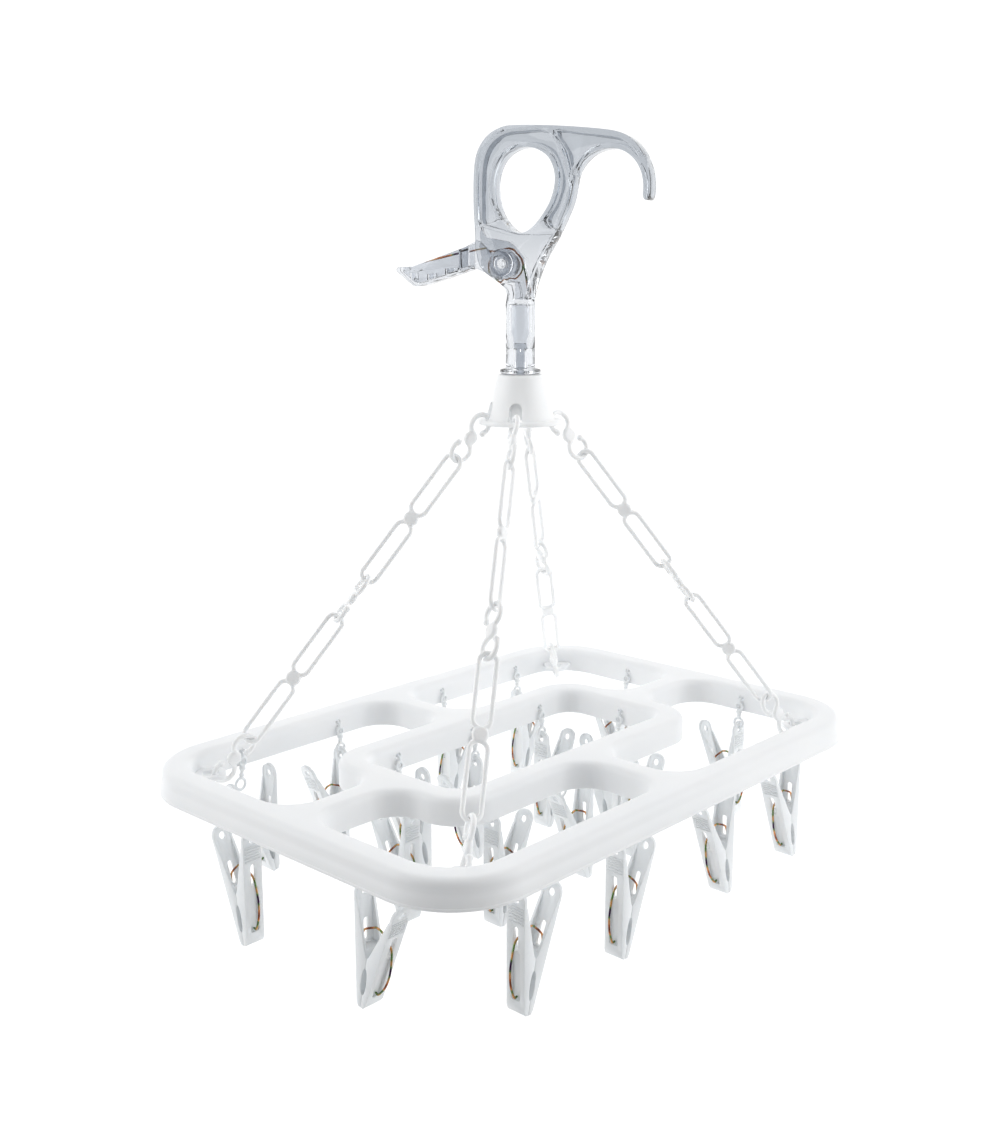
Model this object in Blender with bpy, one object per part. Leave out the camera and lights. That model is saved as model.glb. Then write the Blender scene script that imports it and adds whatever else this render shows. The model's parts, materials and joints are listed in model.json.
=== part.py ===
"""Clip drying hanger: clear catch hook, swivel hub, four link chains, grid frame and twenty pegs.

Lengths below are in millimetres, measured from the frame's underside on the stem's axis, and every object
is placed in metres. The origin is the top of the hook's inner arc, where the pole bears. +Z is up.
"""

import math

import bmesh
import bpy
from mathutils import Matrix, Vector
from mathutils.geometry import delaunay_2d_cdt

MM = 0.001

# Hook and handle: one clear moulding that lies in an upright plane, turned by HOOK_YAW about the stem.
HOOK_YAW = math.radians(-71.0)
SEAT_OUT = 57.0
SEAT_HEIGHT = 377.0
PLATE_DEPTH = 12.0
HOUSING_DEPTH = 16.0
POCKET_DEPTH = 4.4
STEM_RADIUS = 9.0
STEM_FOOT = 247.4
COLLAR_RADIUS = 12.5
PIVOT = (-9.0, 312.6)
PIVOT_RADIUS = 3.0
PIVOT_GAP = 0.3

# Swivel hub.
HUB_TOP = 246.8
HUB_TOP_RADIUS = 14.3
HUB_FOOT_RADIUS = 21.0
FLANGE_RADIUS = 26.0
FLANGE_TOP = 219.5
FLANGE_FOOT = 216.5
SWIVEL_RADIUS = 2.7

# Grid frame.
FRAME_X = 200.0
FRAME_Y = 138.5
FRAME_HEIGHT = 17.0
BAR = 18.0
RING_X = 117.0
RING_Y = 59.5
WALL = 2.0
LIP = 1.2
CHAMFER = 4.0
CORNER_RADIUS = 48.0
RING_RADIUS = 28.0
FILLET = 20.0
WALL_HOLE_RADIUS = 2.4
WALL_HOLE_HEIGHT = 9.0

# Chains: small double-hook links (S) and long double-loop links (L), from hub to corner lug.
STRIP_OUT = 24.0
LUG_OUT = 188.5
LUG_HEIGHT = 6.0
CHAIN_AZIMUTH = math.radians(33.4)
LINK_WIRE = 1.65
LONG_WIRE = 1.5
HOOK_RADIUS = 6.6
SMALL_LENGTH = 33.3
LONG_HALF_WIDTH = 5.1
DISC_RADIUS = 4.6
DISC_THICK = 4.0
LINK_GAP = 0.3
LINK_BITE = 0.7

# Roll of each link about its chain, from the hub outwards. A link at 90 degrees stands in the upright plane.
LINK_ROLLS = (
    (65.0, 110.0, 45.0, -20.0, 65.0),
    (65.0, 115.0, 0.0, 115.0, 65.0),
    (65.0, 110.0, 45.0, -20.0, 65.0),
    (65.0, 115.0, 0.0, 115.0, 65.0),
)

# Pegs.
PEG_LENGTH = 69.5
PEG_WIDTH = 13.0
PEG_SLOPE = math.tan(math.radians(11.0))
PEG_LEAN = math.radians(11.0)
JAW_HALF = 3.0
PLATE_THICK = 1.8
FULCRUM = 30.0
PEG_GAP = 0.15
PEG_HOLE = 63.5
PEG_HOLE_RADIUS = 2.2
TIE_WIRE = 0.9
TIE_DROP = 22.5
TIE_STAND_OFF = 3.0

# Where each peg hangs: wall, distance along it, side its free arm is on, and which arm is upright.
PEGS = (
    ("front", -134.0, 1, "A"),
    ("front", -50.0, 1, "A"),
    ("front", 42.0, 1, "B"),
    ("front", 120.0, 1, "B"),
    ("back", 130.0, 1, "A"),
    ("back", 50.0, 1, "A"),
    ("back", -50.0, -1, "A"),
    ("back", -130.0, 1, "B"),
    ("left", -51.0, -1, "A"),
    ("left", 47.0, 1, "A"),
    ("right", 51.0, 1, "A"),
    ("right", -51.0, 1, "A"),
    ("ring_front", -68.0, 1, "A"),
    ("ring_front", 0.0, 1, "B"),
    ("ring_front", 68.0, 1, "A"),
    ("ring_back", 68.0, 1, "A"),
    ("ring_back", 0.0, -1, "A"),
    ("ring_back", -68.0, 1, "B"),
    ("ring_left", 0.0, 1, "A"),
    ("ring_right", -6.0, 1, "A"),
)


def clear_scene():
    for obj in list(bpy.data.objects):
        bpy.data.objects.remove(obj, do_unlink=True)


def material(name, colour, roughness, transmission=0.0, metallic=0.0):
    made = bpy.data.materials.new(name)
    made.use_nodes = True
    shader = made.node_tree.nodes["Principled BSDF"]
    shader.inputs["Base Color"].default_value = (*colour, 1.0)
    shader.inputs["Roughness"].default_value = roughness
    shader.inputs["Transmission Weight"].default_value = transmission
    shader.inputs["Metallic"].default_value = metallic
    made.diffuse_color = (*colour, 1.0)
    return made


# ---------------------------------------------------------------- placing


def stem_axis():
    """The stem's axis and the frame's underside, seen from the origin at the pole seat."""
    return Vector((-SEAT_OUT * math.cos(HOOK_YAW), -SEAT_OUT * math.sin(HOOK_YAW), -SEAT_HEIGHT))


def hook_point(out, height, depth=0.0):
    """A point of the hook's plane: out from the stem's axis, height, and depth across the plate."""
    cos, sin = math.cos(HOOK_YAW), math.sin(HOOK_YAW)
    return Vector((out * cos - depth * sin, out * sin + depth * cos, height))


def finish(name, mesh, look, pivot=(0.0, 0.0, 0.0), turn=0.0):
    """An object whose mesh is in millimetres about its own pivot, placed in metres."""
    obj = bpy.data.objects.new(name, mesh)
    obj.location = (Vector(pivot) + stem_axis()) * MM
    obj.rotation_euler = (0.0, 0.0, turn)
    if not mesh.materials:
        mesh.materials.append(look)
    bpy.context.scene.collection.objects.link(obj)
    return obj


def to_metres(mesh, pivot=(0.0, 0.0, 0.0)):
    mesh.transform(Matrix.Scale(MM, 4) @ Matrix.Translation(-Vector(pivot)))
    mesh.update()
    return mesh


def shade(mesh):
    """Drops the spare points in flat faces, then shades smooth across all but the sharp edges."""
    work = bmesh.new()
    work.from_mesh(mesh)
    bmesh.ops.dissolve_limit(work, angle_limit=math.radians(0.5), verts=work.verts, edges=work.edges)
    bmesh.ops.triangulate(work, faces=work.faces)
    work.to_mesh(mesh)
    work.free()
    for face in mesh.polygons:
        face.use_smooth = True
    mesh.set_sharp_from_angle(angle=math.radians(35.0))
    return mesh


# ---------------------------------------------------------------- solids


def mesh_from(points, faces, name="shape"):
    mesh = bpy.data.meshes.new(name)
    mesh.from_pydata([tuple(point) for point in points], [], faces)
    work = bmesh.new()
    work.from_mesh(mesh)
    bmesh.ops.remove_doubles(work, verts=work.verts, dist=1e-5)
    bmesh.ops.recalc_face_normals(work, faces=work.faces)
    work.to_mesh(mesh)
    work.free()
    return mesh


def cap_faces(loops):
    """Triangles that fill the first loop and leave the others open, as indices into all the loops' points."""
    flat = [Vector(point) for loop in loops for point in loop]
    edges = []
    start = 0
    for loop in loops:
        edges += [(start + index, start + (index + 1) % len(loop)) for index in range(len(loop))]
        start += len(loop)
    _, _, faces, sources, _, _ = delaunay_2d_cdt(flat, edges, [], 0, 1e-6)
    kept = []
    for face in faces:
        corners = [sources[index][0] for index in face]
        middle = sum((flat[index] for index in corners), Vector((0.0, 0.0))) / 3
        if inside(middle, loops[0]) and not any(inside(middle, loop) for loop in loops[1:]):
            kept.append(tuple(corners))
    return kept


def inside(point, loop):
    """Whether a point lies inside a closed loop, by counting the edges to its right."""
    crossings = 0
    for (x1, y1), (x2, y2) in zip(loop, loop[1:] + loop[:1]):
        if (y1 > point.y) != (y2 > point.y) and point.x < x1 + (point.y - y1) * (x2 - x1) / (y2 - y1):
            crossings += 1
    return crossings % 2 == 1


def prism(loops, low, high, place=None):
    """A flat region with holes, given as loops of (x, y), drawn out from low to high."""
    flat = [point for loop in loops for point in loop]
    count = len(flat)
    caps = cap_faces(loops)
    points = [Vector((x, y, low)) for x, y in flat] + [Vector((x, y, high)) for x, y in flat]
    faces = [tuple(face) for face in caps]
    faces += [tuple(index + count for index in reversed(face)) for face in caps]
    start = 0
    for loop in loops:
        size = len(loop)
        for index in range(size):
            here, there = start + index, start + (index + 1) % size
            faces.append((here, there, there + count, here + count))
        start += size
    if place:
        points = [place(point) for point in points]
    return mesh_from(points, faces)


def plate(loops, depth):
    """A region of the hook's plane, depth thick and centred on it."""
    return prism(loops, -depth / 2, depth / 2, lambda point: hook_point(point.x, point.y, point.z))


def circle(radius, steps, centre=(0.0, 0.0), turn=0.0):
    angles = [turn + 2 * math.pi * index / steps for index in range(steps)]
    return [(centre[0] + radius * math.cos(angle), centre[1] + radius * math.sin(angle)) for angle in angles]


def tube(path, radius, sides, closed=False):
    """A round wire along a path of points."""
    path = [Vector(point) for point in path]
    count = len(path)
    normal = None
    points = []
    for index, point in enumerate(path):
        before = path[index - 1] if closed or index else point
        after = path[(index + 1) % count] if closed or index < count - 1 else point
        along = (after - before).normalized()
        if normal is None:
            normal = along.orthogonal().normalized()
        normal = (normal - along * normal.dot(along)).normalized()
        across = along.cross(normal)
        for side in range(sides):
            angle = 2 * math.pi * (side + 0.5) / sides
            points.append(point + (normal * math.cos(angle) + across * math.sin(angle)) * radius)
    faces = []
    for index in range(count if closed else count - 1):
        here, there = index * sides, (index + 1) % count * sides
        for side in range(sides):
            right = (side + 1) % sides
            faces.append((here + side, here + right, there + right, there + side))
    if not closed:
        faces.append(tuple(range(sides)))
        faces.append(tuple(range((count - 1) * sides, count * sides)))
    return mesh_from(points, faces)


def turned(profile, steps):
    """A solid of revolution about Z from (radius, height) pairs that start and end on the axis."""
    rings = []
    points = []
    for radius, height in profile:
        if radius == 0.0:
            rings.append([len(points)])
            points.append(Vector((0.0, 0.0, height)))
        else:
            rings.append(list(range(len(points), len(points) + steps)))
            points += [Vector((x, y, height)) for x, y in circle(radius, steps)]
    faces = []
    for low, high in zip(rings, rings[1:]):
        for index in range(steps):
            right = (index + 1) % steps
            corners = [low[index % len(low)], low[right % len(low)], high[right % len(high)], high[index % len(high)]]
            faces.append(tuple(dict.fromkeys(corners)))
    return mesh_from(points, faces)


def bake(obj):
    """The object's mesh with its modifiers applied."""
    bpy.context.view_layer.update()
    graph = bpy.context.evaluated_depsgraph_get()
    return bpy.data.meshes.new_from_object(obj.evaluated_get(graph))


def combine(mesh, others, operation):
    """One solid from a mesh and others, joined or cut away in turn."""
    for other in others:
        base = bpy.data.objects.new("base", mesh)
        helper = bpy.data.objects.new("helper", other)
        helper.hide_render = True
        helper.display_type = "WIRE"
        for obj in (base, helper):
            bpy.context.scene.collection.objects.link(obj)
        step = base.modifiers.new("step", "BOOLEAN")
        step.operation = operation
        step.solver = "EXACT"
        step.object = helper
        mesh = tidy(bake(base))
        for obj in (base, helper):
            bpy.data.objects.remove(obj, do_unlink=True)
    return mesh


def tidy(mesh):
    """Merges the points that a cut left on top of each other."""
    work = bmesh.new()
    work.from_mesh(mesh)
    bmesh.ops.remove_doubles(work, verts=work.verts, dist=0.002)
    bmesh.ops.triangulate(work, faces=work.faces)
    bmesh.ops.recalc_face_normals(work, faces=work.faces)
    work.to_mesh(mesh)
    work.free()
    return mesh


def join(mesh, *others):
    return combine(mesh, others, "UNION")


def cut(mesh, *others):
    return combine(mesh, others, "DIFFERENCE")


def moved(mesh, matrix):
    copy = mesh.copy()
    copy.transform(matrix)
    if matrix.determinant() < 0:
        copy.flip_normals()
    return copy


# ---------------------------------------------------------------- hook, lever and swivel


def handle_outline():
    left = [(-9.0, 291.0), (-9.5, 299.0), (-25.0, 311.0), (-27.2, 331.0), (-28.2, 345.0), (-28.2, 362.0)]
    crown = [(-27.0, 374.0), (-23.5, 382.0), (-17.5, 388.0), (-9.0, 391.5), (0.0, 392.0), (20.0, 391.0)]
    arm = [(58.0, 386.8), (66.0, 384.2), (72.5, 379.5), (77.5, 372.8), (81.0, 364.5), (82.2, 356.0)]
    tip = [(81.4, 350.0), (79.6, 347.6), (77.8, 349.2)]
    inner = [(77.9, 357.0), (76.2, 364.0), (72.0, 370.6), (65.2, 375.4), (57.0, 377.0)]
    mouth = [(48.5, 375.6), (41.5, 371.2), (36.4, 364.5), (34.6, 357.0), (32.6, 348.0)]
    right = [(28.3, 338.0), (22.8, 327.5), (16.2, 315.5), (11.6, 303.0), (9.0, 291.0)]
    return left + crown + arm + tip + inner + mouth + right


def grip_hole():
    upper = [(-16.0, 358.0), (-14.4, 367.0), (-9.5, 374.6), (-2.5, 378.6), (4.0, 379.6), (11.5, 378.4)]
    lower = [(19.0, 374.0), (23.2, 366.5), (23.8, 358.0), (20.8, 348.0), (14.5, 338.5), (8.0, 332.4)]
    return upper + lower + [(2.0, 330.5), (-4.5, 332.6), (-11.5, 340.0), (-15.0, 349.0)]


def ring_pocket():
    outside = [(-24.6, 336.0), (-25.6, 348.0), (-25.6, 361.5), (-24.4, 373.0), (-21.4, 380.4), (-16.2, 385.6)]
    outside += [(-8.6, 388.9), (0.0, 389.4), (17.6, 388.5), (27.2, 375.5), (31.0, 362.0), (31.4, 356.0)]
    outside += [(29.6, 347.4), (25.8, 338.6), (22.0, 332.2)]
    inside = [(17.0, 338.0), (23.2, 347.2), (26.4, 358.0), (25.6, 367.4), (20.8, 376.0), (12.4, 381.0)]
    inside += [(4.0, 382.2), (-3.6, 381.2), (-11.6, 376.4), (-16.8, 368.2), (-18.6, 358.0), (-17.4, 348.0)]
    inside += [(-13.8, 338.8)]
    return outside + inside


def arm_pocket():
    upper = [(22.5, 388.2), (57.4, 384.0), (64.6, 381.6), (70.4, 377.4), (74.8, 371.6)]
    lower = [(73.8, 372.4), (66.6, 377.8), (57.0, 379.8), (47.2, 378.2), (39.4, 373.2), (34.2, 366.0)]
    return upper + lower + [(33.2, 363.0), (29.6, 376.2)]


def housing_outline():
    return [
        (-9.0, 291.0),
        (-9.5, 299.0),
        (-25.0, 311.0),
        (-27.2, 331.0),
        (-24.0, 335.6),
        (-2.0, 329.4),
        (21.0, 329.4),
        (22.8, 327.5),
        (16.2, 315.5),
        (11.6, 303.0),
        (9.0, 291.0),
    ]


def slot_outline():
    return [
        (-40.0, 298.0),
        (-20.0, 298.0),
        (-9.0, 301.4),
        (-1.5, 301.4),
        (-1.5, 291.5),
        (5.5, 291.5),
        (6.0, 303.0),
        (7.5, 326.0),
        (-20.0, 328.0),
        (-24.0, 333.6),
        (-40.0, 338.0),
    ]


def hook_body(look):
    body = plate([handle_outline(), grip_hole()], PLATE_DEPTH)
    housing = plate([housing_outline()], HOUSING_DEPTH)
    stem = turned(
        [
            (0.0, STEM_FOOT),
            (COLLAR_RADIUS, STEM_FOOT),
            (COLLAR_RADIUS, STEM_FOOT + 2.4),
            (STEM_RADIUS, STEM_FOOT + 3.2),
            (STEM_RADIUS, 293.0),
            (6.0, 301.0),
            (0.0, 301.0),
        ],
        16,
    )
    body = join(body, housing, stem)
    slot = prism([slot_outline()], -3.4, 6.2, lambda point: hook_point(point.x, point.y, point.z))
    pockets = []
    for side in (-1, 1):
        low, high = sorted((side * (PLATE_DEPTH / 2 - POCKET_DEPTH), side * 9.0))
        for outline in (ring_pocket(), arm_pocket()):
            pockets.append(prism([outline], low, high, lambda point: hook_point(point.x, point.y, point.z)))
    bore = plate([circle(PIVOT_RADIUS + PIVOT_GAP, 12, PIVOT)], 40.0)
    well = turned([(0.0, 240.0), (SWIVEL_RADIUS + 0.08, 240.0), (SWIVEL_RADIUS + 0.08, 262.0), (4.0, 262.0),
                   (4.0, 268.0), (0.0, 268.0)], 12)
    body = cut(body, slot, *pockets, bore, well)
    return finish("hook_body", to_metres(shade(body)), look)


def catch_lever(look):
    """A channel-shaped trigger with a round boss on the pivot pin."""
    side = [(-31.5, 304.7), (-64.0, 299.8), (-69.4, 299.6), (-80.9, 308.4), (-80.0, 310.8), (-69.8, 311.2)]
    shell = plate([side + [(-31.5, 323.3)]], 13.0)
    hollow = [(-29.0, 306.6), (-63.6, 301.8), (-69.0, 301.8), (-76.4, 307.4), (-76.8, 316.0)]
    trough = plate([hollow + [(-36.0, 330.0), (-29.0, 330.0)]], 10.0)
    blade = [(-10.0, 303.2), (-27.5, 305.6), (-40.0, 303.6), (-40.0, 320.6), (-29.4, 325.6), (-26.4, 327.0)]
    web = plate([blade + [(-24.0, 325.4), (-18.0, 319.0), (-9.0, 320.6)]], 6.0)
    boss = plate([circle(9.0, 16, PIVOT)], 6.4)
    lever = join(cut(shell, trough), web, boss)
    lever = cut(lever, plate([circle(PIVOT_RADIUS + PIVOT_GAP, 12, PIVOT)], 30.0))
    pivot = hook_point(*PIVOT)
    return finish("catch_lever", to_metres(shade(lever), pivot), look, pivot)


def lever_pin(look):
    shank = plate([circle(PIVOT_RADIUS, 12, PIVOT)], HOUSING_DEPTH + 1.6)
    return finish("lever_pin", to_metres(shade(shank)), look)


def lever_spring(look):
    """A torsion coil beside the lever's boss, one leg in the lever's channel and one down the housing."""
    out, height = PIVOT
    near, far, radius, steps = 3.9, 5.4, 10.1, 18
    path = [(-74.0, 309.8, near), (-38.0, 318.6, near), (-24.0, 321.4, near)]
    for index in range(steps + 1):
        share = index / steps
        angle = math.radians(105.0 - 465.0 * share)
        depth = near + (far - near) * share
        path.append((out + radius * math.cos(angle), height + radius * math.sin(angle), depth))
    path += [(2.6, 300.0, far), (2.8, 294.4, far), (1.4, 293.0, far)]
    wire = tube([hook_point(*point) for point in path], 0.5, 5)
    return finish("lever_spring", to_metres(shade(wire)), look)


def swivel_pin(look):
    top = 266.0
    shape = turned(
        [
            (0.0, 233.0),
            (6.0, 233.0),
            (6.0, 236.6),
            (SWIVEL_RADIUS, 236.6),
            (SWIVEL_RADIUS, 262.6),
            (3.6, 262.6),
            (3.2, top),
            (0.0, top),
        ],
        12,
    )
    return finish("swivel_pin", to_metres(shade(shape)), look)


def hub(look):
    """A hollow cone on a flange, with an arched window and a hole in the flange above each chain."""
    shell = turned(
        [
            (0.0, HUB_TOP),
            (HUB_TOP_RADIUS - 0.8, HUB_TOP),
            (HUB_TOP_RADIUS, HUB_TOP - 0.8),
            (HUB_FOOT_RADIUS, FLANGE_TOP),
            (FLANGE_RADIUS, FLANGE_TOP),
            (FLANGE_RADIUS, FLANGE_FOOT),
            (0.0, FLANGE_FOOT),
        ],
        32,
    )
    cavity = turned([(0.0, 240.0), (9.0, 240.0), (12.5, FLANGE_FOOT - 1.0), (0.0, FLANGE_FOOT - 1.0)], 16)
    bore = turned([(0.0, 250.0), (SWIVEL_RADIUS + 0.08, 250.0), (SWIVEL_RADIUS + 0.08, 230.0), (0.0, 230.0)], 12)
    windows = []
    for azimuth in chain_azimuths():
        arch = [(-4.2, FLANGE_FOOT - 1.0), (4.2, FLANGE_FOOT - 1.0), (4.2, 226.0), (2.6, 229.2), (0.0, 230.4)]
        spin = Matrix.Rotation(azimuth, 4, "Z")
        niche = prism([arch + [(-2.6, 229.2), (-4.2, 226.0)]], 15.6, 21.8,
                      lambda point: Vector((point.z, point.x, point.y)))
        windows.append(moved(niche, spin))
        above = [(-4.2, FLANGE_TOP), (4.2, FLANGE_TOP), (4.2, 226.0), (2.6, 229.2), (0.0, 230.4)]
        front = prism([above + [(-2.6, 229.2), (-4.2, 226.0)]], 21.0, 30.0,
                      lambda point: Vector((point.z, point.x, point.y)))
        windows.append(moved(front, spin))
    body = cut(shell, cavity, bore, *windows)
    return finish("hub", to_metres(shade(body)), look)


# ---------------------------------------------------------------- frame


def rounded(corners):
    """A closed loop from (x, y, radius, steps) corners, each rounded by an arc."""
    loop = []
    count = len(corners)
    for index, (x, y, radius, steps) in enumerate(corners):
        here = Vector((x, y))
        before = (Vector(corners[index - 1][:2]) - here).normalized()
        after = (Vector(corners[(index + 1) % count][:2]) - here).normalized()
        centre = here + (before + after) * radius
        for step in range(steps + 1):
            angle = math.pi / 2 * step / steps
            arm = -after * math.cos(angle) - before * math.sin(angle)
            loop.append(tuple(centre + arm * radius))
    return loop


def frame_loops(outer, inner):
    """The frame's outline and its five openings, the outline drawn in by outer and the openings out by inner."""
    x, y, radius = FRAME_X - outer, FRAME_Y - outer, CORNER_RADIUS - outer
    loops = [rounded([(x, y, radius, 5), (-x, y, radius, 5), (-x, -y, radius, 5), (x, -y, radius, 5)])]
    x, y, radius = RING_X - BAR + inner, RING_Y - BAR + inner, 14.0 + inner
    loops.append(rounded([(x, y, radius, 3), (-x, y, radius, 3), (-x, -y, radius, 3), (x, -y, radius, 3)]))
    near, rim_x, rim_y = BAR / 2 - inner, FRAME_X - BAR + inner, FRAME_Y - BAR + inner
    ring_x, ring_y = RING_X - inner, RING_Y - inner
    corners = [
        (near, rim_y, FILLET + inner, 3),
        (near, ring_y, FILLET + inner, 3),
        (ring_x, ring_y, RING_RADIUS - inner, 4),
        (ring_x, near, FILLET + inner, 3),
        (rim_x, near, FILLET + inner, 3),
        (rim_x, rim_y, CORNER_RADIUS - BAR + inner, 4),
    ]
    quarter = rounded(corners)
    for side_x, side_y in ((1, 1), (-1, 1), (-1, -1), (1, -1)):
        loops.append([(side_x * x, side_y * y) for x, y in quarter])
    return loops


def frame_shell():
    """The grid as a channel-section moulding: open below, chamfered above, with a lip round the outside."""
    outline = [
        (-LIP, 0.0, 0.0),
        (-LIP, 0.0, 7.0),
        (0.0, 0.0, 8.2),
        (0.0, 0.0, FRAME_HEIGHT - CHAMFER),
        (1.2, 1.2, FRAME_HEIGHT - 1.3),
        (CHAMFER, CHAMFER, FRAME_HEIGHT),
    ]
    channel = [(WALL - LIP, WALL, 0.0), (WALL, WALL, 7.6), (WALL, WALL, FRAME_HEIGHT - CHAMFER - 1.2),
               (CHAMFER + 0.6, CHAMFER + 0.6, FRAME_HEIGHT - WALL)]
    layers = []
    for outer, inner, height in list(reversed(channel)) + outline:
        layers.append((frame_loops(outer, inner), height))
    size = sum(len(loop) for loop in layers[0][0])
    points = []
    for loops, height in layers:
        points += [Vector((x, y, height)) for loop in loops for x, y in loop]
    faces = []
    for layer in range(len(layers) - 1):
        start = layer * size
        for loop in layers[0][0]:
            for index in range(len(loop)):
                here, there = start + index, start + (index + 1) % len(loop)
                faces.append((here, there, there + size, here + size))
            start += len(loop)
    for layer in (0, len(layers) - 1):
        caps = cap_faces(layers[layer][0])
        faces += [tuple(index + layer * size for index in face) for face in caps]
    return mesh_from(points, faces)


def chain_azimuths():
    return [CHAIN_AZIMUTH, math.pi - CHAIN_AZIMUTH, math.pi + CHAIN_AZIMUTH, -CHAIN_AZIMUTH]


def wall_frame(wall):
    """A wall's middle point, the unit vector into the opening, and the one along it."""
    table = {
        "front": ((0.0, -(FRAME_Y - BAR + WALL / 2)), (0.0, 1.0)),
        "back": ((0.0, FRAME_Y - BAR + WALL / 2), (0.0, -1.0)),
        "left": ((-(FRAME_X - BAR + WALL / 2), 0.0), (1.0, 0.0)),
        "right": ((FRAME_X - BAR + WALL / 2, 0.0), (-1.0, 0.0)),
        "ring_front": ((0.0, -(RING_Y - BAR + WALL / 2)), (0.0, 1.0)),
        "ring_back": ((0.0, RING_Y - BAR + WALL / 2), (0.0, -1.0)),
        "ring_left": ((-(RING_X - BAR + WALL / 2), 0.0), (1.0, 0.0)),
        "ring_right": ((RING_X - BAR + WALL / 2, 0.0), (-1.0, 0.0)),
    }
    (x, y), (into_x, into_y) = table[wall]
    into = Vector((into_x, into_y, 0.0))
    along = into.cross(Vector((0.0, 0.0, 1.0)))
    return Vector((x, y, WALL_HOLE_HEIGHT)), into, along


def lug(azimuth):
    """The shelf inside a corner that the chain's last link goes through."""
    low, high = LUG_HEIGHT - 1.4, LUG_HEIGHT + 1.4
    outline = [(186.4, -4.4), (186.4, 4.4), (188.0, 7.0), (206.2, 9.0), (206.2, -9.0), (188.0, -7.0)]
    slot = [(190.6, -4.2), (190.6, 4.2), (200.4, 4.2), (200.4, -4.2)]
    return moved(prism([outline, slot], low, high), Matrix.Rotation(azimuth, 4, "Z"))


def frame(look):
    body = join(frame_shell(), *[lug(azimuth) for azimuth in chain_azimuths()])
    holes = []
    for wall, distance, _, _ in PEGS:
        middle, into, along = wall_frame(wall)
        centre = middle + along * distance * along_sign(wall)
        turn = math.atan2(into.y, into.x)
        hole = prism([circle(WALL_HOLE_RADIUS, 6)], -2.6, 2.6, lambda point: Vector((point.z, point.x, point.y)))
        holes.append(moved(hole, Matrix.Translation(centre) @ Matrix.Rotation(turn, 4, "Z")))
    body = cut(body, *holes)
    return finish("frame", to_metres(shade(body)), look)


def along_sign(wall):
    """Distances are counted along +X or +Y, whichever way the wall faces."""
    _, _, along = wall_frame(wall)
    return 1.0 if along.x + along.y > 0 else -1.0


# ---------------------------------------------------------------- chains


def small_link(start, roll):
    """A flat S-shaped link: a disc between two round hooks, each open on one side. It lies along +X."""
    middle = start + SMALL_LENGTH / 2
    reach = SMALL_LENGTH / 2 - HOOK_RADIUS
    hooks = []
    for side in (1, -1):
        path = []
        for step in range(9):
            angle = math.radians(-178.0 + 304.0 * step / 8)
            x, y = reach + HOOK_RADIUS * math.cos(angle), HOOK_RADIUS * math.sin(angle)
            path.append((middle + side * x, side * y, 0.0))
        hooks.append(tube(path, LINK_WIRE, 5))
    disc = moved(prism([circle(DISC_RADIUS, 8)], -DISC_THICK / 2, DISC_THICK / 2),
                 Matrix.Translation((middle, 0.0, 0.0)))
    return moved(join(disc, *hooks), Matrix.Rotation(roll, 4, "X"))


def long_link(start, end, roll):
    """A flat link of two long closed loops joined by a disc. It lies along +X."""
    middle = (start + end) / 2
    half = (end - start) / 2
    loops = []
    for side in (1, -1):
        path = []
        for centre, first in ((half - LONG_HALF_WIDTH, -90.0), (3.4 + LONG_HALF_WIDTH, 90.0)):
            for step in range(5):
                angle = math.radians(first + 180.0 * step / 4)
                x = centre + LONG_HALF_WIDTH * math.cos(angle)
                path.append((middle + side * x, LONG_HALF_WIDTH * math.sin(angle), 0.0))
        loops.append(tube(path, LONG_WIRE, 5, closed=True))
    disc = moved(prism([circle(DISC_RADIUS, 8)], -DISC_THICK / 2, DISC_THICK / 2),
                 Matrix.Translation((middle, 0.0, 0.0)))
    return moved(join(disc, *loops), Matrix.Rotation(roll, 4, "X"))


def chain_line():
    """Start, direction and length of a chain in its own upright plane, as (out, height)."""
    start = Vector((STRIP_OUT, 0.0, (FLANGE_TOP + FLANGE_FOOT) / 2))
    end = Vector((LUG_OUT, 0.0, LUG_HEIGHT))
    return start, (end - start).normalized(), (end - start).length


def chain_meshes(rolls):
    """The upper pair of links, the middle link and the lower pair, lying along +X from the hub's strip."""
    _, _, length = chain_line()
    rolls = [math.radians(roll) for roll in rolls]
    first = 1.92 - HOOK_RADIUS
    touch = LINK_WIRE + LONG_WIRE - LINK_BITE
    slack = LINK_WIRE + LONG_WIRE + LINK_GAP
    long_start = first + SMALL_LENGTH - touch
    long_end = length / 2 - SMALL_LENGTH / 2 + slack
    upper = join(small_link(first, rolls[0]), long_link(long_start, long_end, rolls[1]))
    middle = small_link(length / 2 - SMALL_LENGTH / 2, rolls[2])
    last = length - first - SMALL_LENGTH
    lower = join(small_link(last, rolls[4]), long_link(length - long_end, length - long_start, rolls[3]))
    return {"upper": upper, "middle": middle, "lower": lower}


def chains(look):
    start, along, length = chain_line()
    tilt = math.atan2(-along.z, along.x)
    for number, (azimuth, rolls) in enumerate(zip(chain_azimuths(), LINK_ROLLS), 1):
        spin = Matrix.Rotation(azimuth, 4, "Z")
        place = spin @ Matrix.Translation(start) @ Matrix.Rotation(tilt, 4, "Y")
        centre = spin @ (start + along * length / 2)
        for part, shape in chain_meshes(rolls).items():
            pivot = centre if part == "middle" else Vector((0.0, 0.0, 0.0))
            solid = to_metres(shade(moved(shape, place)), pivot)
            finish(f"chain_{number}_{part}", solid, look, pivot)


# ---------------------------------------------------------------- pegs


def outer_face(height):
    return JAW_HALF + PEG_SLOPE * height


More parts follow.
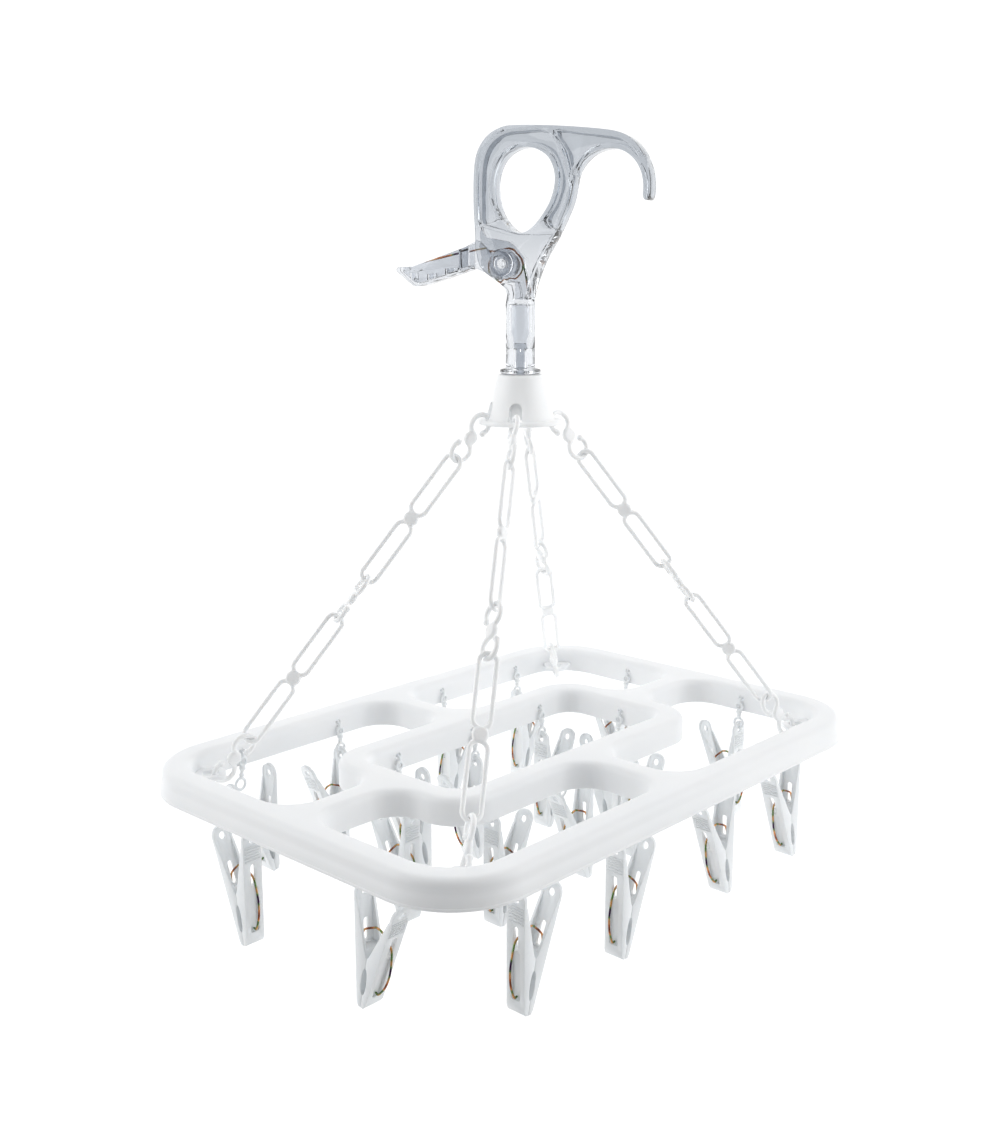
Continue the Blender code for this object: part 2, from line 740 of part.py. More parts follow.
def peg_arm():
    """The arm on the +X side of an upright peg whose jaw tips meet at the origin."""
    half = PEG_WIDTH / 2
    top = 61.0
    side = [
        (PEG_GAP, 0.0),
        (JAW_HALF - 0.8, 0.0),
        (outer_face(2.0), 2.0),
        (outer_face(top), top),
        (outer_face(top) - 2.6, top),
        (PEG_GAP, FULCRUM),
        (1.9, 25.0),
        (1.9, 11.0),
        (PEG_GAP, 8.5),
    ]
    upright = lambda point: Vector((point.x, point.z, point.y))
    body = prism([side], -half, half, upright)
    head = [(-half, 56.0), (half, 56.0), (half, PEG_HOLE)]
    for step in range(1, 4):
        angle = math.pi * step / 4
        head.append((half * math.cos(angle), PEG_HOLE + (PEG_LENGTH - PEG_HOLE) * math.sin(angle)))
    head.append((-half, PEG_HOLE))
    slope = Matrix.Identity(4)
    slope[0][2] = PEG_SLOPE
    slope[0][3] = JAW_HALF
    flat = prism([head], -PLATE_THICK, 0.0, lambda point: Vector((point.z, point.x, point.y)))
    body = join(body, moved(flat, slope))
    inner = [(outer_face(height) - PLATE_THICK, height) for height in (33.0, 66.0)]
    pocket = [(inner[0][0] - 3.0, 33.0), inner[0], inner[1], (inner[1][0] - 10.0, 66.0), (-4.0, 34.0)]
    pocket = prism([pocket], -half + 1.7, half - 1.7, upright)
    slot = prism([[(0.0, -1.6), (20.0, -1.6), (20.0, 1.6), (0.0, 1.6)]], 35.0, 48.0)
    hole = prism([circle(PEG_HOLE_RADIUS, 8, turn=math.pi / 8)], -4.0, 4.0,
                 lambda point: Vector((point.z, point.x, point.y + PEG_HOLE)))
    return cut(body, pocket, slot, moved(hole, slope))


def peg_meshes():
    """Meshes about their pivots for each upright arm (A or B) and each hand, with the pivots they sit on."""
    arm = peg_arm()
    shapes = {}
    for upright, lean, offset, drop in (("A", PEG_LEAN, 0.0, TIE_DROP), ("B", -PEG_LEAN, -9.0, TIE_DROP + 1.5)):
        hole = Vector((-(outer_face(PEG_HOLE) - PLATE_THICK / 2), 0.0, PEG_HOLE))
        tilt = Matrix.Rotation(lean, 4, "Y")
        target = Vector((offset, TIE_STAND_OFF, -drop))
        place = Matrix.Translation(target - tilt @ hole) @ tilt
        fulcrum = place @ Vector((0.0, 0.0, FULCRUM))
        upside = place @ Matrix.Rotation(math.pi, 4, "Z")
        fixed = moved(join(arm, moved(tie(target), upside.inverted())), upside)
        free = moved(arm, Matrix.Translation(-fulcrum) @ place)
        for hand in (1, -1):
            mirror = Matrix.Diagonal((hand, 1.0, 1.0, 1.0))
            held = to_metres(shade(moved(fixed, mirror)))
            loose = to_metres(shade(moved(free, mirror)))
            shapes[upright, hand] = (held, loose, mirror @ fulcrum)
    return shapes


def tie(target):
    """The small link: turned up behind the wall, through its hole, and down to a ring in the peg's hole."""
    ring_radius = 3.6
    centre = target + Vector((0.0, 0.0, PEG_HOLE_RADIUS - TIE_WIRE + 0.4 + ring_radius))
    ring = tube([centre + Vector((x, 0.0, z)) for x, z in circle(ring_radius, 6)],
                TIE_WIRE, 4, closed=True)
    path = [
        (0.0, -3.4, 3.2),
        (0.0, -3.2, 0.6),
        (0.0, -2.2, 0.0),
        (0.0, 2.0, 0.0),
        (0.0, TIE_STAND_OFF, -1.4),
        tuple(centre + Vector((0.0, 0.0, ring_radius))),
    ]
    return join(tube(path, TIE_WIRE, 4), ring)


def pegs(look):
    shapes = peg_meshes()
    for number, (wall, distance, side, upright) in enumerate(PEGS, 1):
        middle, _, along = wall_frame(wall)
        sign = along_sign(wall)
        pivot = middle + along * distance * sign
        held, loose, fulcrum = shapes[upright, int(side * sign)]
        turn = math.atan2(along.y, along.x)
        finish(f"peg_{number:02d}_arm", held, look, pivot, turn)
        hinge = pivot + Matrix.Rotation(turn, 3, "Z") @ fulcrum
        finish(f"peg_{number:02d}_jaw", loose, look, hinge, turn)


def main():
    clear_scene()
    clear = material("clear_polycarbonate", (0.86, 0.89, 0.92), 0.05, transmission=0.9)
    white = material("white_polypropylene", (0.9, 0.91, 0.92), 0.35)
    pearl = material("white_peg_plastic", (0.88, 0.9, 0.91), 0.3)
    steel = material("spring_steel", (0.62, 0.6, 0.55), 0.3, metallic=1.0)
    hook_body(clear)
    catch_lever(clear)
    lever_pin(clear)
    lever_spring(steel)
    swivel_pin(white)
    hub(white)
    frame(white)
    chains(white)
    pegs(pearl)


main()
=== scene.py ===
"""The look of the clip drying hanger: clear hook, swivel hub, link chains, grid frame and wire-sprung pegs.

Shapes are made in millimetres in the hanger's own frame, whose origin is on the stem's axis at the underside of
the grid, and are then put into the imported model's frame in metres. Every piece rides on the body it belongs to.
"""

import json
import math

import bmesh
import bpy
from mathutils import Matrix, Vector
from mathutils.geometry import delaunay_2d_cdt


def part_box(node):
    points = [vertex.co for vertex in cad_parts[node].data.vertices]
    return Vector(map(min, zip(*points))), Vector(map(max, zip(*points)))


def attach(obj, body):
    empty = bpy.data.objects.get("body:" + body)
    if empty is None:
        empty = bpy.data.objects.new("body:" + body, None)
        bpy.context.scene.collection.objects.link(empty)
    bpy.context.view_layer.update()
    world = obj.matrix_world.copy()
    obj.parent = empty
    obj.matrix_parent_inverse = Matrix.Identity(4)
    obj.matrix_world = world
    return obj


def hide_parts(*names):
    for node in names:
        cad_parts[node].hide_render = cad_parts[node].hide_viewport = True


MM = 0.001
Z = Vector((0.0, 0.0, 1.0))

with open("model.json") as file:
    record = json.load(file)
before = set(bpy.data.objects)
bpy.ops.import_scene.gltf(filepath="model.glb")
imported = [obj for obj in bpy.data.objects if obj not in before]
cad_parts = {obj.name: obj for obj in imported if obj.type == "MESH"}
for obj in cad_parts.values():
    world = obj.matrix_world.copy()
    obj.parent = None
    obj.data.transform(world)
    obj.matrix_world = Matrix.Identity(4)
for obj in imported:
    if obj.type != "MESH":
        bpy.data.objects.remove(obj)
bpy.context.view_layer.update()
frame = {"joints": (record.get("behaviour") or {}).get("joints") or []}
joints = {joint["name"]: joint for joint in frame["joints"]}
swivel = Vector(joints["hub_swivel"]["pos_m"])
ORIGIN = Vector((swivel.x, swivel.y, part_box("frame")[0].z))
PLATE = Vector(joints["lever_pivot"]["axis"]).normalized()
OUT = PLATE.cross(Z)
VIEW_AZIMUTH = math.radians(42.639)
VIEW = Vector((math.cos(VIEW_AZIMUTH), math.sin(VIEW_AZIMUTH), 0.0))

# Sizes that the CAD part uses too.
STEM_RADIUS = 9.0
STEM_FOOT = 247.4
PLATE_DEPTH = 12.0
PIVOT = (-9.0, 312.6)
HUB_TOP = 246.8
FLANGE_TOP = 219.5
FLANGE_FOOT = 216.5
FRAME_X = 200.0
FRAME_Y = 138.5
BAR = 18.0
RING_X = 117.0
RING_Y = 59.5
CORNER_RADIUS = 48.0
RING_RADIUS = 28.0
FILLET = 20.0
CHAIN_AZIMUTH = math.radians(33.4)
CHAIN_START = (24.0, 218.0)
CHAIN_END = (188.5, 6.0)
LINK_WIRE = 1.65
LONG_WIRE = 1.5
HOOK_RADIUS = 6.6
SMALL_LENGTH = 33.3
LONG_HALF_WIDTH = 5.1
PEG_SLOPE = math.tan(math.radians(11.0))
PEG_LEAN = math.radians(11.0)
JAW_HALF = 3.0
PEG_HOLE = 63.5
PEG_LENGTH = 69.5
FULCRUM = 30.0
TIE_STAND_OFF = 3.0

# Sizes of this look alone, in millimetres.
PIN_BORE = 3.08
RIVET_BORE = 2.9
SPRING_WIRE = 0.5
SPRING_COIL = 10.1
COIL_DEPTH = 3.9

# The stage, in metres from the origin, and how strongly the paper glows with painted light before and behind the
# hanger.
FLOOR = -0.62
BACKDROP_REACH = 3.2
BACKDROP_CURVE = 1.6
BACKDROP_TOP = 7.0
GLOW_BEFORE = 0.14
GLOW_BEHIND = 0.84

# The lights, in watts.
LEFT_POWER = 10.2
RIGHT_POWER = 12.2
TOP_POWER = 8.2
HUB_POWER = 8.0

# The camera, in millimetres and degrees in the hanger's own frame.
CAMERA_PLACE = (-626.04, -559.59, 301.75)
CAMERA_TILT = 78.198
CAMERA_TURN = -47.361
CAMERA_LENS = 43.26


# ---------------------------------------------------------------- materials


def shader_of(name):
    made = bpy.data.materials.new(name)
    made.use_nodes = True
    tree = made.node_tree
    shader = tree.nodes["Principled BSDF"]
    where = tree.nodes.new("ShaderNodeTexCoord")
    return made, tree, shader, where


def noise(tree, where, scale, detail):
    made = tree.nodes.new("ShaderNodeTexNoise")
    made.inputs["Scale"].default_value = scale
    made.inputs["Detail"].default_value = detail
    tree.links.new(where.outputs["Object"], made.inputs["Vector"])
    return made


def ramp(tree, source, stops):
    made = tree.nodes.new("ShaderNodeValToRGB")
    while len(made.color_ramp.elements) < len(stops):
        made.color_ramp.elements.new(0.5)
    for element, (place, colour) in zip(made.color_ramp.elements, stops):
        element.position = place
        element.color = (*colour, 1.0)
    tree.links.new(source, made.inputs["Fac"])
    return made


def spread(tree, source, low, high):
    made = tree.nodes.new("ShaderNodeMapRange")
    made.inputs["From Min"].default_value = 0.3
    made.inputs["From Max"].default_value = 0.7
    made.inputs["To Min"].default_value = low
    made.inputs["To Max"].default_value = high
    tree.links.new(source, made.inputs["Value"])
    return made


def bump(tree, shader, source, strength, distance):
    made = tree.nodes.new("ShaderNodeBump")
    made.inputs["Strength"].default_value = strength
    made.inputs["Distance"].default_value = distance
    tree.links.new(source, made.inputs["Height"])
    tree.links.new(made.outputs["Normal"], shader.inputs["Normal"])
    return made


def white_plastic(name, light, shade, rough, grain, soft):
    """Moulded white plastic: a faint cloudiness, a fine tooled grain and light let a little way in."""
    made, tree, shader, where = shader_of(name)
    cloud = noise(tree, where, 18.0, 2.0)
    fine = noise(tree, where, grain, 4.0)
    colour = ramp(tree, cloud.outputs["Fac"], ((0.3, shade), (0.7, light)))
    tree.links.new(colour.outputs["Color"], shader.inputs["Base Color"])
    gloss = spread(tree, fine.outputs["Fac"], rough - 0.05, rough + 0.06)
    tree.links.new(gloss.outputs["Result"], shader.inputs["Roughness"])
    shader.inputs["IOR"].default_value = 1.49
    shader.inputs["Subsurface Weight"].default_value = soft
    shader.inputs["Subsurface Radius"].default_value = (1.0, 0.95, 0.9)
    shader.inputs["Subsurface Scale"].default_value = 0.0015
    bump(tree, shader, fine.outputs["Fac"], 0.12, 0.00012)
    return made


def clear_plastic(name, tint, painted_shade_grey):
    """Clear moulded plastic with slow flow waves and rubbed patches, and painted shade that makes the ring and arm
    greyer.
    """
    made, tree, shader, where = shader_of(name)
    waves = noise(tree, where, 45.0, 2.0)
    rubbed = noise(tree, where, 160.0, 4.0)
    # Painted shade: the colour turns from the tint to the darker grey higher up, across a wavy band, so the ring and
    # arm look darker.
    height = tree.nodes.new("ShaderNodeSeparateXYZ")
    tree.links.new(where.outputs["Object"], height.inputs["Vector"])
    cloud = noise(tree, where, 14.0, 1.0)
    mixed = tree.nodes.new("ShaderNodeMath")
    mixed.operation = "MULTIPLY_ADD"
    mixed.inputs[1].default_value = 0.016
    tree.links.new(cloud.outputs["Fac"], mixed.inputs[0])
    tree.links.new(height.outputs["Z"], mixed.inputs[2])
    share = tree.nodes.new("ShaderNodeMapRange")
    share.inputs["From Min"].default_value = 0.318
    share.inputs["From Max"].default_value = 0.352
    tree.links.new(mixed.outputs["Value"], share.inputs["Value"])
    colour = ramp(tree, share.outputs["Result"], ((0.0, tint), (1.0, painted_shade_grey)))
    tree.links.new(colour.outputs["Color"], shader.inputs["Base Color"])
    shader.inputs["Transmission Weight"].default_value = 1.0
    shader.inputs["IOR"].default_value = 1.57
    gloss = spread(tree, rubbed.outputs["Fac"], 0.015, 0.07)
    tree.links.new(gloss.outputs["Result"], shader.inputs["Roughness"])
    bump(tree, shader, waves.outputs["Fac"], 0.25, 0.0012)
    return made


def tempered_wire(name):
    """Spring wire with the straw, bronze, green and violet bands that heating leaves."""
    made, tree, shader, where = shader_of(name)
    bands = noise(tree, where, 95.0, 1.0)
    drawn = noise(tree, where, 1400.0, 2.0)
    colour = ramp(
        tree,
        bands.outputs["Fac"],
        (
            (0.30, (0.03, 0.02, 0.03)),
            (0.44, (0.40, 0.12, 0.04)),
            (0.51, (0.62, 0.30, 0.12)),
            (0.57, (0.12, 0.22, 0.07)),
            (0.66, (0.05, 0.02, 0.06)),
        ),
    )
    tree.links.new(colour.outputs["Color"], shader.inputs["Base Color"])
    shader.inputs["Metallic"].default_value = 1.0
    gloss = spread(tree, drawn.outputs["Fac"], 0.2, 0.34)
    tree.links.new(gloss.outputs["Result"], shader.inputs["Roughness"])
    bump(tree, shader, drawn.outputs["Fac"], 0.15, 0.00005)
    return made


def backdrop_white(name):
    """Pale grey paper that glows with painted light, as if lit through from behind, over the part that is under and
    behind the hanger.
    """
    made, tree, shader, where = shader_of(name)
    cloud = noise(tree, where, 1.5, 1.0)
    colour = ramp(tree, cloud.outputs["Fac"], ((0.3, (0.335, 0.34, 0.345)), (0.7, (0.355, 0.355, 0.355))))
    tree.links.new(colour.outputs["Color"], shader.inputs["Base Color"])
    shader.inputs["Roughness"].default_value = 0.9
    shader.inputs["Specular IOR Level"].default_value = 0.0
    shader.inputs["Emission Color"].default_value = (1.0, 1.0, 1.0, 1.0)
    depth = tree.nodes.new("ShaderNodeVectorMath")
    depth.operation = "DOT_PRODUCT"
    depth.inputs[1].default_value = VIEW
    tree.links.new(where.outputs["Object"], depth.inputs[0])
    # Painted light: the glow is strong under and behind the hanger along the view and weak before it.
    glow = tree.nodes.new("ShaderNodeMapRange")
    glow.inputs["From Min"].default_value = -0.3
    glow.inputs["From Max"].default_value = -0.06
    glow.inputs["To Min"].default_value = GLOW_BEFORE
    glow.inputs["To Max"].default_value = GLOW_BEHIND
    tree.links.new(depth.outputs["Value"], glow.inputs["Value"])
    tree.links.new(glow.outputs["Result"], shader.inputs["Emission Strength"])
    return made


# ---------------------------------------------------------------- placing


def local(point):
    """A point of the hanger's own frame, from metres in the row frame."""
    return (Vector(point) - ORIGIN) / MM


def hook_point(out, height, depth=0.0):
    return OUT * out + Z * height + PLATE * depth


def in_plate(point):
    return hook_point(point.x, point.y, point.z)


def put(name, mesh, look, body, place=None, nodes=()):
    """One piece from a mesh in millimetres. It rides on its body and stands for the CAD nodes named."""
    obj = bpy.data.objects.new(name, mesh)
    bpy.context.scene.collection.objects.link(obj)
    obj.matrix_world = Matrix.Translation(ORIGIN) @ (place or Matrix.Identity(4))
    if not mesh.materials:
        mesh.materials.append(look)
    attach(obj, body)
    if nodes:
        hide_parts(*nodes)
    return obj


def in_metres(place):
    """The same placement with its shift in metres, for a mesh already in metres."""
    made = place.copy()
    made.translation = place.translation * MM
    return made


def ready(mesh):
    """The mesh scaled to metres and shaded smooth up to its sharp edges."""
    mesh.transform(Matrix.Scale(MM, 4))
    for face in mesh.polygons:
        face.use_smooth = True
    mesh.set_sharp_from_angle(angle=math.radians(35.0))
    return mesh


# ---------------------------------------------------------------- solids


def mesh_from(points, faces):
    mesh = bpy.data.meshes.new("shape")
    mesh.from_pydata([tuple(point) for point in points], [], faces)
    work = bmesh.new()
    work.from_mesh(mesh)
    bmesh.ops.remove_doubles(work, verts=work.verts, dist=1e-5)
    bmesh.ops.recalc_face_normals(work, faces=work.faces)
    work.to_mesh(mesh)
    work.free()
    return mesh


def inside(point, loop):
    crossings = 0
    for (x1, y1), (x2, y2) in zip(loop, loop[1:] + loop[:1]):
        if (y1 > point.y) != (y2 > point.y) and point.x < x1 + (point.y - y1) * (x2 - x1) / (y2 - y1):
            crossings += 1
    return crossings % 2 == 1


def cap_faces(loops):
    """Triangles that fill the first loop and leave the others open, as indices into all the loops' points."""
    flat = [Vector(point) for loop in loops for point in loop]
    edges = []
    start = 0
    for loop in loops:
        edges += [(start + index, start + (index + 1) % len(loop)) for index in range(len(loop))]
        start += len(loop)
    _, _, faces, sources, _, _ = delaunay_2d_cdt(flat, edges, [], 0, 1e-6)
    kept = []
    for face in faces:
        corners = [sources[index][0] for index in face]
        middle = sum((flat[index] for index in corners), Vector((0.0, 0.0))) / 3
        if inside(middle, loops[0]) and not any(inside(middle, loop) for loop in loops[1:]):
            kept.append(tuple(corners))
    return kept


def layered(layers, place=None):
    """A solid from matching sets of loops at rising heights, capped at both ends."""
    size = sum(len(loop) for loop in layers[0][0])
    points = []
    for loops, height in layers:
        points += [Vector((x, y, height)) for loop in loops for x, y in loop]
    faces = []
    for layer in range(len(layers) - 1):
        start = layer * size
        for loop in layers[0][0]:
            for index in range(len(loop)):
                here, there = start + index, start + (index + 1) % len(loop)
                faces.append((here, there, there + size, here + size))
            start += len(loop)
    for layer in (0, len(layers) - 1):
        faces += [tuple(index + layer * size for index in face) for face in cap_faces(layers[layer][0])]
    if place:
        points = [place(point) for point in points]
    return mesh_from(points, faces)


def prism(loops, low, high, place=None):
    return layered([(loops, low), (loops, high)], place)


def circle(radius, steps, centre=(0.0, 0.0)):
    angles = [2 * math.pi * index / steps for index in range(steps)]
    return [(centre[0] + radius * math.cos(angle), centre[1] + radius * math.sin(angle)) for angle in angles]


def smooth(points, steps, closed=True):
    """A smooth curve through the points."""
    points = [Vector(point) for point in points]
    count = len(points)
    made = []
    for index in range(count if closed else count - 1):
        if closed:
            a, b, c, d = (points[(index + shift) % count] for shift in (-1, 0, 1, 2))
        else:
            a, b = points[max(index - 1, 0)], points[index]
            c, d = points[index + 1], points[min(index + 2, count - 1)]
        for step in range(steps):
            t = step / steps
            made.append(0.5 * (2 * b + (c - a) * t + (2 * a - 5 * b + 4 * c - d) * t**2
                               + (3 * b - 3 * c + d - a) * t**3))
    if not closed:
        made.append(points[-1])
    return [tuple(point) for point in made]


def tube(path, radius, sides=12, closed=False):
    """A round wire along a path, with domed ends."""
    path = [Vector(point) for point in path]
    radii = [radius] * len(path)
    if not closed:
        first, last = (path[0] - path[1]).normalized(), (path[-1] - path[-2]).normalized()
        for share, step in ((0.6, 0.6), (0.95, 0.35)):
            path.insert(0, path[0] + first * radius * step)
            path.append(path[-1] + last * radius * step)
            radii.insert(0, radius * math.sqrt(1 - share**2))
            radii.append(radius * math.sqrt(1 - share**2))
    count = len(path)
    normal = None
    points = []
    for index, point in enumerate(path):
        before = path[index - 1] if closed or index else point
        after = path[(index + 1) % count] if closed or index < count - 1 else point
        along = (after - before).normalized()
        if normal is None:
            normal = along.orthogonal().normalized()
        normal = (normal - along * normal.dot(along)).normalized()
        across = along.cross(normal)
        for side in range(sides):
            angle = 2 * math.pi * side / sides
            points.append(point + (normal * math.cos(angle) + across * math.sin(angle)) * radii[index])
    faces = []
    for index in range(count if closed else count - 1):
        here, there = index * sides, (index + 1) % count * sides
        for side in range(sides):
            right = (side + 1) % sides
            faces.append((here + side, here + right, there + right, there + side))
    if not closed:
        faces.append(tuple(range(sides)))
        faces.append(tuple(range((count - 1) * sides, count * sides)))
    return mesh_from(points, faces)


def turned(profile, steps):
    """A solid of revolution about Z from (radius, height) pairs that start and end on the axis."""
    rings = []
    points = []
    for radius, height in profile:
        if radius == 0.0:
            rings.append([len(points)])
            points.append(Vector((0.0, 0.0, height)))
        else:
            rings.append(list(range(len(points), len(points) + steps)))
            points += [Vector((x, y, height)) for x, y in circle(radius, steps)]
    faces = []
    for low, high in zip(rings, rings[1:]):
        for index in range(steps):
            right = (index + 1) % steps
            corners = [low[index % len(low)], low[right % len(low)], high[right % len(high)], high[index % len(high)]]
            faces.append(tuple(dict.fromkeys(corners)))
    return mesh_from(points, faces)


def ball(centre, radius, squeeze=1.0):
    work = bmesh.new()
    bmesh.ops.create_icosphere(work, subdivisions=3, radius=radius)
    bmesh.ops.scale(work, vec=(1.0, 1.0, squeeze), verts=work.verts)
    bmesh.ops.translate(work, vec=centre, verts=work.verts)
    mesh = bpy.data.meshes.new("ball")
    work.to_mesh(mesh)
    work.free()
    return mesh


def baked(obj):
    bpy.context.view_layer.update()
    graph = bpy.context.evaluated_depsgraph_get()
    made = bpy.data.meshes.new_from_object(obj.evaluated_get(graph))
    bpy.data.objects.remove(obj, do_unlink=True)
    return made


def helper(mesh):
    obj = bpy.data.objects.new("helper", mesh)
    bpy.context.scene.collection.objects.link(obj)
    return obj


def combine(mesh, others, operation):
    for other in others:
        base, tool = helper(mesh), helper(other)
        step = base.modifiers.new("step", "BOOLEAN")
        step.operation = operation
        step.solver = "EXACT"
        step.object = tool
        mesh = baked(base)
        bpy.data.objects.remove(tool, do_unlink=True)
        work = bmesh.new()
        work.from_mesh(mesh)
        bmesh.ops.remove_doubles(work, verts=work.verts, dist=0.002)
        work.to_mesh(mesh)
        work.free()
    return mesh


def join(mesh, *others):
    return combine(mesh, others, "UNION")


def cut(mesh, *others):
    return combine(mesh, others, "DIFFERENCE")


def heap(*meshes):
    """Several meshes as one, just laid together."""
    work = bmesh.new()
    for mesh in meshes:
        work.from_mesh(mesh)
    made = bpy.data.meshes.new("heap")
    work.to_mesh(made)
    work.free()
    return made


def moved(mesh, matrix):
    copy = mesh.copy()
    copy.transform(matrix)
    if matrix.determinant() < 0:
        copy.flip_normals()
    return copy


def softened(mesh, width, segments=2, angle=35.0):
    """Flat faces cleared of spare edges, then every sharp edge rounded over."""
    work = bmesh.new()
    work.from_mesh(mesh)
    bmesh.ops.dissolve_limit(work, angle_limit=math.radians(0.5), verts=work.verts, edges=work.edges)
    work.to_mesh(mesh)
    work.free()
    base = helper(mesh)
    step = base.modifiers.new("edges", "BEVEL")
    step.width = width
    step.segments = segments
    step.limit_method = "ANGLE"
    step.angle_limit = math.radians(angle)
    step.miter_outer = "MITER_ARC"
    return baked(base)


def fused(mesh, voxel, share):
    """Overlapping shapes melted into one moulded piece with small fillets, then thinned out."""
    base = helper(mesh)
    step = base.modifiers.new("melt", "REMESH")
    step.mode = "VOXEL"
    step.voxel_size = voxel
    step = base.modifiers.new("even", "SMOOTH")
    step.factor = 0.5
    step.iterations = 5
    step = base.modifiers.new("thin", "DECIMATE")
    step.ratio = share
    return baked(base)


# ---------------------------------------------------------------- handle


def handle_outline():
    left = [(-6.6, 286.0), (-7.6, 298.0), (-24.4, 311.4), (-27.2, 331.0), (-28.2, 345.0), (-28.2, 362.0)]
    crown = [(-27.0, 374.0), (-23.5, 382.0), (-17.5, 388.0), (-9.0, 391.5), (0.0, 392.0), (20.0, 391.0)]
    arm = [(40.0, 389.2), (58.0, 386.8), (66.0, 384.2), (72.5, 379.5), (77.5, 372.8), (81.0, 364.5)]
    tip = [(82.2, 356.0), (81.6, 350.4), (79.6, 347.8), (77.9, 350.0)]
    inner = [(77.9, 357.0), (76.2, 364.0), (72.0, 370.6), (65.2, 375.4), (57.0, 377.0)]
    mouth = [(48.5, 375.6), (41.5, 371.2), (36.4, 364.5), (34.6, 357.0), (32.6, 348.0)]
    right = [(28.3, 338.0), (22.8, 327.5), (15.6, 315.5), (10.2, 303.0), (7.0, 292.0), (6.2, 286.0)]
    return smooth(left + crown + arm + tip + inner + mouth + right, 4)


def grip_hole():
    upper = [(-16.0, 358.0), (-14.4, 367.0), (-9.5, 374.6), (-2.5, 378.6), (4.0, 379.6), (11.5, 378.4)]
    lower = [(19.0, 374.0), (23.2, 366.5), (23.8, 358.0), (20.8, 348.0), (14.5, 338.5), (8.0, 332.4)]
    return smooth(upper + lower + [(2.0, 330.5), (-4.5, 332.6), (-11.5, 340.0), (-15.0, 349.0)], 4)


def ring_pocket():
    outside = [(-24.6, 336.0), (-25.6, 348.0), (-25.6, 361.5), (-24.4, 373.0), (-21.4, 380.4), (-16.2, 385.6)]
    outside += [(-8.6, 388.9), (0.0, 389.4), (17.6, 388.5), (27.2, 375.5), (31.0, 362.0), (31.4, 356.0)]
    outside += [(29.6, 347.4), (25.8, 338.6), (22.0, 332.2)]
    within = [(17.0, 338.0), (23.2, 347.2), (26.4, 358.0), (25.6, 367.4), (20.8, 376.0), (12.4, 381.0)]
    within += [(4.0, 382.2), (-3.6, 381.2), (-11.6, 376.4), (-16.8, 368.2), (-18.6, 358.0), (-17.4, 348.0)]
    within += [(-13.8, 338.8)]
    return smooth(outside + within, 3)


def arm_pocket():
    upper = [(22.5, 388.2), (40.0, 386.4), (57.4, 384.0), (64.6, 381.6), (70.4, 377.4), (74.8, 371.6)]
    lower = [(73.8, 372.4), (66.6, 377.8), (57.0, 379.8), (47.2, 378.2), (39.4, 373.2), (34.2, 366.0)]
    return smooth(upper + lower + [(33.2, 363.0), (29.6, 376.2)], 3)


def housing_outline():
    return [(-5.6, 290.0), (-6.6, 299.0), (-24.4, 311.6), (-27.2, 331.0), (-24.0, 335.6), (-2.0, 329.4),
            (21.0, 329.4), (22.8, 327.5), (15.2, 315.5), (9.4, 303.0), (6.0, 291.0)]


def slot_outline():
    return [(-40.0, 298.0), (-20.0, 298.0), (-9.0, 301.4), (-1.5, 301.4), (-1.5, 291.5), (5.5, 291.5),
            (6.0, 303.0), (4.6, 316.0), (0.0, 321.6), (-6.0, 325.4), (-20.0, 328.0), (-24.0, 333.6), (-40.0, 338.0)]


def inset(loop, amount):
    """The loop drawn in by an even amount."""
    turn = sum(x1 * y2 - x2 * y1 for (x1, y1), (x2, y2) in zip(loop, loop[1:] + loop[:1]))
    made = []
    for index, point in enumerate(loop):
        here = Vector(point)
        before = (here - Vector(loop[index - 1])).normalized()
        after = (Vector(loop[(index + 1) % len(loop)]) - here).normalized()
        normal = Vector((-before.y - after.y, before.x + after.x)).normalized()
        depth = amount / max(0.4, normal.dot(Vector((-before.y, before.x))))
        made.append(tuple(here + normal * math.copysign(depth, turn)))
    return made


def handle_mesh():
    """The clear moulding: a ring and arm of I-section over a slotted housing and a hollow round stem."""
    body = prism([handle_outline(), grip_hole()], -PLATE_DEPTH / 2, PLATE_DEPTH / 2, in_plate)
    outline = smooth(inset(housing_outline(), 0.8), 2)
    cheeks = [prism([outline], low, high, in_plate) for low, high in ((-8.0, -5.0), (5.0, 8.0))]
    stem = turned([(0.0, STEM_FOOT), (12.0, STEM_FOOT), (12.5, STEM_FOOT + 0.5), (12.5, STEM_FOOT + 2.0),
                   (12.0, STEM_FOOT + 2.5), (STEM_RADIUS + 0.3, STEM_FOOT + 3.0), (STEM_RADIUS, STEM_FOOT + 4.0),
                   (STEM_RADIUS, 262.0), (STEM_RADIUS - 0.35, 262.5), (STEM_RADIUS, 263.0),
                   (STEM_RADIUS, 289.0), (6.0, 301.0), (0.0, 301.0)], 48)
    body = join(body, *cheeks, stem)
    cutters = [prism([slot_outline()], -3.4, 6.2, in_plate)]
    for side in (-1, 1):
        low, high = sorted((side * 1.4, side * 9.0))
        for outline in (ring_pocket(), arm_pocket()):
            cutters.append(prism([outline], low, high, in_plate))
    cutters.append(prism([circle(PIN_BORE, 32, PIVOT)], -20.0, 20.0, in_plate))
    cutters.append(turned([(0.0, 240.0), (RIVET_BORE, 240.0), (RIVET_BORE, 262.0), (4.4, 262.0), (4.4, 269.0),
                           (5.6, 272.0), (5.6, 288.0), (0.0, 290.0)], 32))
    return softened(cut(body, *cutters), 0.5, 2)


def boss_mesh():
    """The raised collars round the pivot, one on each cheek of the housing."""
    rings = []
    for side in (-1, 1):
        low, high = sorted((side * 8.05, side * 9.4))
        rings.append(prism([circle(7.4, 48, PIVOT), circle(4.4, 48, PIVOT)], low, high, in_plate))
    return softened(heap(*rings), 0.35, 2)


